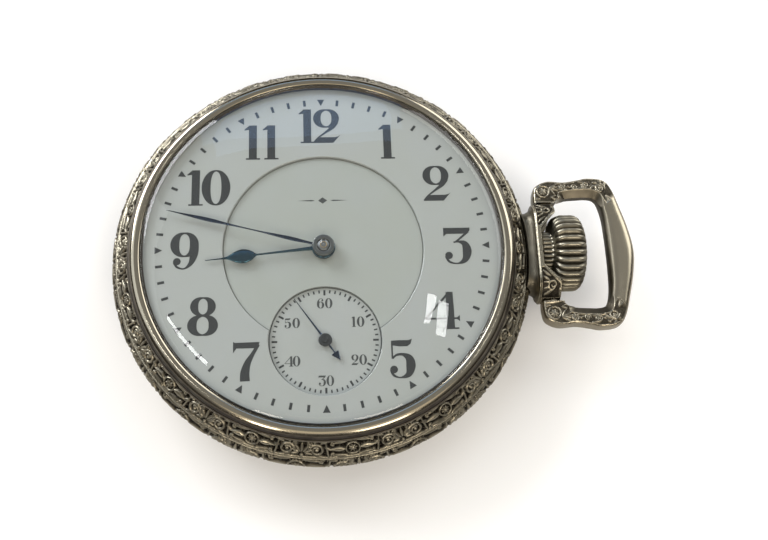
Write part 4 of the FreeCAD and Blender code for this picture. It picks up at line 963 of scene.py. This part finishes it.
# ---- hands ----
def blade(name, stations, angle, z0, thick, material, body, at=(0, 0)):
    """A hand from (distance, half width) stations, with a low ridge along its middle."""
    path = smooth_path(stations, 14)
    path[:, 1] = np.maximum(path[:, 1], 0.015)
    across = np.array([-1, -0.72, -0.3, 0, 0.3, 0.72, 1])
    lift = np.array([0.45, 0.8, 0.95, 1.0, 0.95, 0.8, 0.45])
    c, s = math.cos(math.radians(angle)), math.sin(math.radians(angle))
    rows = []
    for x, w in path:
        top = [(x, k * w, z0 + thick * h) for k, h in zip(across, lift)]
        rows += top + [(x, w, z0), (x, -w, z0)]
    local = np.array(rows)
    verts = np.stack([at[0] + local[:, 0] * c - local[:, 1] * s, at[1] + local[:, 0] * s + local[:, 1] * c,
                      local[:, 2]], -1)
    n = len(across) + 2
    return make_object(name, verts, capped_faces(len(path), n), material, body, "blued_steel")


def hub(name, r, bore, z0, z1, material, body, at=(0, 0), slot="blued_steel"):
    """A round boss with softened rims."""
    outline = rounded([(bore, z0), (r, z0), (r, z1), (bore, z1)], 0.09, 4)
    return revolve(name, outline, HUB_SEGMENTS, material, body, slot, at=at)


def build_hands():
    """Spade hour hand, slender minute hand and arrow-tailed seconds hand."""
    z_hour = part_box("hour_hand")[1][2] / MM
    spade = blade("hour_spade", [
        (0.9, 0.30), (2.0, 0.22), (4.5, 0.15), (7.5, 0.11), (8.05, 0.16), (8.5, 0.52), (9.1, 0.80),
        (9.7, 0.87), (10.4, 0.70), (11.0, 0.40), (11.5, 0.18), (12.1, 0.09), (12.9, 0.06), (14.05, 0.03),
    ], HOUR_ANGLE, z_hour - 0.16, 0.16, blued_bright, "hour")
    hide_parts("hour_hand")
    hub("hour_hub", 1.4, 1.04, 8.76, z_hour, blued_bright, "hour")
    z_min = 9.5
    needle = blade("minute_blade", [
        (0.9, 0.12), (2.2, 0.16), (3.4, 0.225), (4.4, 0.23), (5.8, 0.17), (7.6, 0.09), (9.8, 0.08),
        (12.0, 0.14), (13.6, 0.225), (15.0, 0.22), (16.4, 0.15), (17.8, 0.08), (19.28, 0.02),
    ], MINUTE_ANGLE, z_min, 0.14, blued, "centre")
    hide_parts("minute_hand")
    hub("minute_hub", 1.32, 0.79, z_min, 9.92, hub_steel, "centre", slot="steel")
    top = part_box("centre_wheel")[1][2] / MM + 0.02
    cap = smooth_path([(0.002, top), (0.4, top - 0.03), (0.65, top - 0.12), (0.78, top - 0.3)], 5)
    revolve("minute_post", np.vstack([cap, [(0.78, z_min + 0.02), (0.002, z_min + 0.02)]]), 72, post_steel,
            "centre", "steel")
    z_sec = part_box("seconds_hand")[0][2] / MM
    sweep = blade("seconds_needle", [(0.4, 0.14), (2.0, 0.10), (4.5, 0.06), (6.28, 0.025)], SECONDS_ANGLE,
                  z_sec, 0.1, blued, "fourth", SECONDS_AT)
    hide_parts("seconds_hand")
    blade("seconds_tail", [(0.4, 0.13), (1.2, 0.10), (1.85, 0.09), (1.9, 0.46), (2.45, 0.24), (2.98, 0.02)],
          SECONDS_ANGLE + 180, z_sec, 0.1, blued, "fourth", SECONDS_AT)
    hub("seconds_hub", 0.8, 0.21, z_sec, z_sec + 0.12, dark_steel, "fourth", SECONDS_AT, "steel")
    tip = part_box("fourth_wheel")[1][2] / MM
    hub("seconds_cap", 0.34, 0.01, tip - 0.05, tip + 0.03, dark_steel, "fourth", SECONDS_AT, "steel")


# ---- movement ----
NODE_FINISHES = [
    (plate_nickel, ["pillar_plate"]),
    (nickel, ["barrel_bridge", "train_bridge", "balance_cock", "pallet_cock"]),
    (steel, ["winding_stem", "winding_pinion", "clutch_wheel", "setting_lever", "clutch_lever", "crown_wheel",
             "ratchet_wheel", "click", "click_spring", "pallet_fork", "balance_staff", "barrel_arbor",
             "regulator", "pendant_sleeve", "hairspring_stud", "cannon_pinion", "escape_wheel"]),
    (blued, ["bridge_screws", "balance_cock_screw", "case_screws", "crown_wheel_screw",
             "ratchet_wheel_screw", "dial_foot_screws", "hairspring"]),
    (spring, ["mainspring"]),
    (gilt, ["mainspring_barrel", "barrel_cover", "centre_wheel", "third_wheel", "fourth_wheel",
            "minute_wheel", "hour_wheel", "setting_wheel", "balance_screws", "balance_wheel"]),
    (ruby, ["plate_jewels", "bridge_jewels", "pallet_jewels", "roller_jewel"]),
    (copper, ["dial_feet"]),
]


def dress_nodes():
    """The frame's own meshes get their finishes."""
    for material, nodes in NODE_FINISHES:
        for node in nodes:
            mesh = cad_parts[node].data
            mesh.materials.clear()
            mesh.materials.append(material)


# ---- stage ----
WHITE, WARM = (1, 1, 1), (1.0, 0.9, 0.76)
# lamps, all towards the watch: name, place, width, height, watts, colour, turn about its own axis
LAMPS = [
    ("left_back", (-0.62, 0.66, 0.44), 0.6, 0.42, 10.2, (0.97, 0.98, 1.0), 0),
    ("right_back", (0.62, 0.60, 0.50), 0.8, 0.6, 5.0, (1.0, 0.99, 0.96), 0),
    ("front_right", (0.32, -0.72, 0.62), 0.30, 0.36, 2.3, WARM, 0),
    ("front_left", (-0.355, -0.70, 0.62), 0.16, 0.34, 1.8, WARM, 0),
    ("front_fill", (0.05, -0.52, 0.88), 1.2, 0.5, 1.3, (1.0, 0.85, 0.62), 0),
    ("left_fill", (-0.78, 0.30, 0.78), 0.7, 0.7, 1.9, (0.90, 0.95, 1.0), 0),
    ("sky", (-0.05, 0.78, 0.92), 0.5, 0.2, 0.42, (0.3, 0.55, 1.0), 0),
    ("strip", (-0.35, 0.108, 0.93), 0.030, 0.17, 0.25, WHITE, -27),
    ("pane", (0.25, 0.190, 0.95), 0.018, 0.072, 0.06, WHITE, 40),
]
# the camera's place in metres, its turn in degrees and its lens in millimetres
CAMERA_PLACE, CAMERA_TURN, CAMERA_LENS = (-0.00029, -0.04388, 0.12361), (19.718, -2.916, -2.202), 48.06


def build_floor():
    """A pale floor just under the watch; the camera sees it glow, a painted light that lifts it to white away
    from the watch, and the glow is weaker near the watch, a painted shadow round it.
    """
    reach, z = 1.5, -0.0002
    mesh = bpy.data.meshes.new("floor")
    corners = [(-reach, -reach, z), (reach, -reach, z), (reach, reach, z), (-reach, reach, z)]
    mesh.from_pydata(corners, [], [(0, 1, 2, 3)])
    floor = bpy.data.objects.new("floor", mesh)
    show(floor)
    pale = new_material("pale_floor", (0.68, 0.672, 0.66), 0.0, 0.8, Emission_Color=(1, 1, 1, 1))
    seen = add_node(pale, "ShaderNodeLightPath").outputs["Is Camera Ray"]
    away = add_node(pale, "ShaderNodeVectorMath", operation="LENGTH")
    link(pale, add_node(pale, "ShaderNodeTexCoord").outputs["Object"], away.inputs[0])
    # painted light: a glow seen only by the camera, weaker near the watch as a painted shadow
    lift = spread(pale, away.outputs["Value"], 0.22, 0.47, 0.024, 0.046, interpolation_type="SMOOTHSTEP")
    drive(pale, "Emission Strength", calculate(pale, "MULTIPLY", seen, lift))
    mesh.materials.append(pale)


def build_sky():
    """A dim studio that grows lighter with height."""
    world = bpy.data.worlds.new("studio")
    bpy.context.scene.world = world
    world.use_nodes = True
    split = add_node(world, "ShaderNodeSeparateXYZ")
    link(world, add_node(world, "ShaderNodeTexCoord").outputs["Generated"], split.inputs["Vector"])
    shade = ramp(world, split.outputs["Z"], [(0.0, (0.05, 0.04, 0.035)), (0.45, (0.17, 0.15, 0.125)),
                                             (0.9, (0.98, 0.97, 0.95))])
    back = world.node_tree.nodes["Background"]
    link(world, shade, back.inputs["Color"])
    back.inputs["Strength"].default_value = 0.42


def build_lamps():
    """Soft windows behind, warm ones in front, and two narrow ones that glint in the glass."""
    for name, place, wide, high, watts, color, turn in LAMPS:
        data = bpy.data.lights.new(name, "AREA")
        data.shape = "RECTANGLE"
        data.size, data.size_y = wide, high
        data.energy = watts
        data.color = color
        lamp = bpy.data.objects.new(name, data)
        lamp.location = place
        lamp.rotation_euler = (-Vector(place)).to_track_quat("-Z", "Y").to_euler()
        lamp.rotation_euler.rotate_axis("Z", math.radians(turn))
        show(lamp)


def build_camera():
    """A camera above the watch's front, as in the photo."""
    bpy.context.scene.view_settings.view_transform = "Standard"
    data = bpy.data.cameras.new("camera")
    data.lens = CAMERA_LENS
    data.clip_start = 0.005
    camera = bpy.data.objects.new("camera", data)
    camera.location = CAMERA_PLACE
    camera.rotation_euler = [math.radians(a) for a in CAMERA_TURN]
    show(camera)
    bpy.context.scene.camera = camera


build_bezel()
build_band()
build_back()
build_crystal()
build_bow()
build_pendant()
build_crown()
build_dial()
build_numbers()
build_tracks()
build_hands()
dress_nodes()
build_floor()
build_sky()
build_lamps()
build_camera()
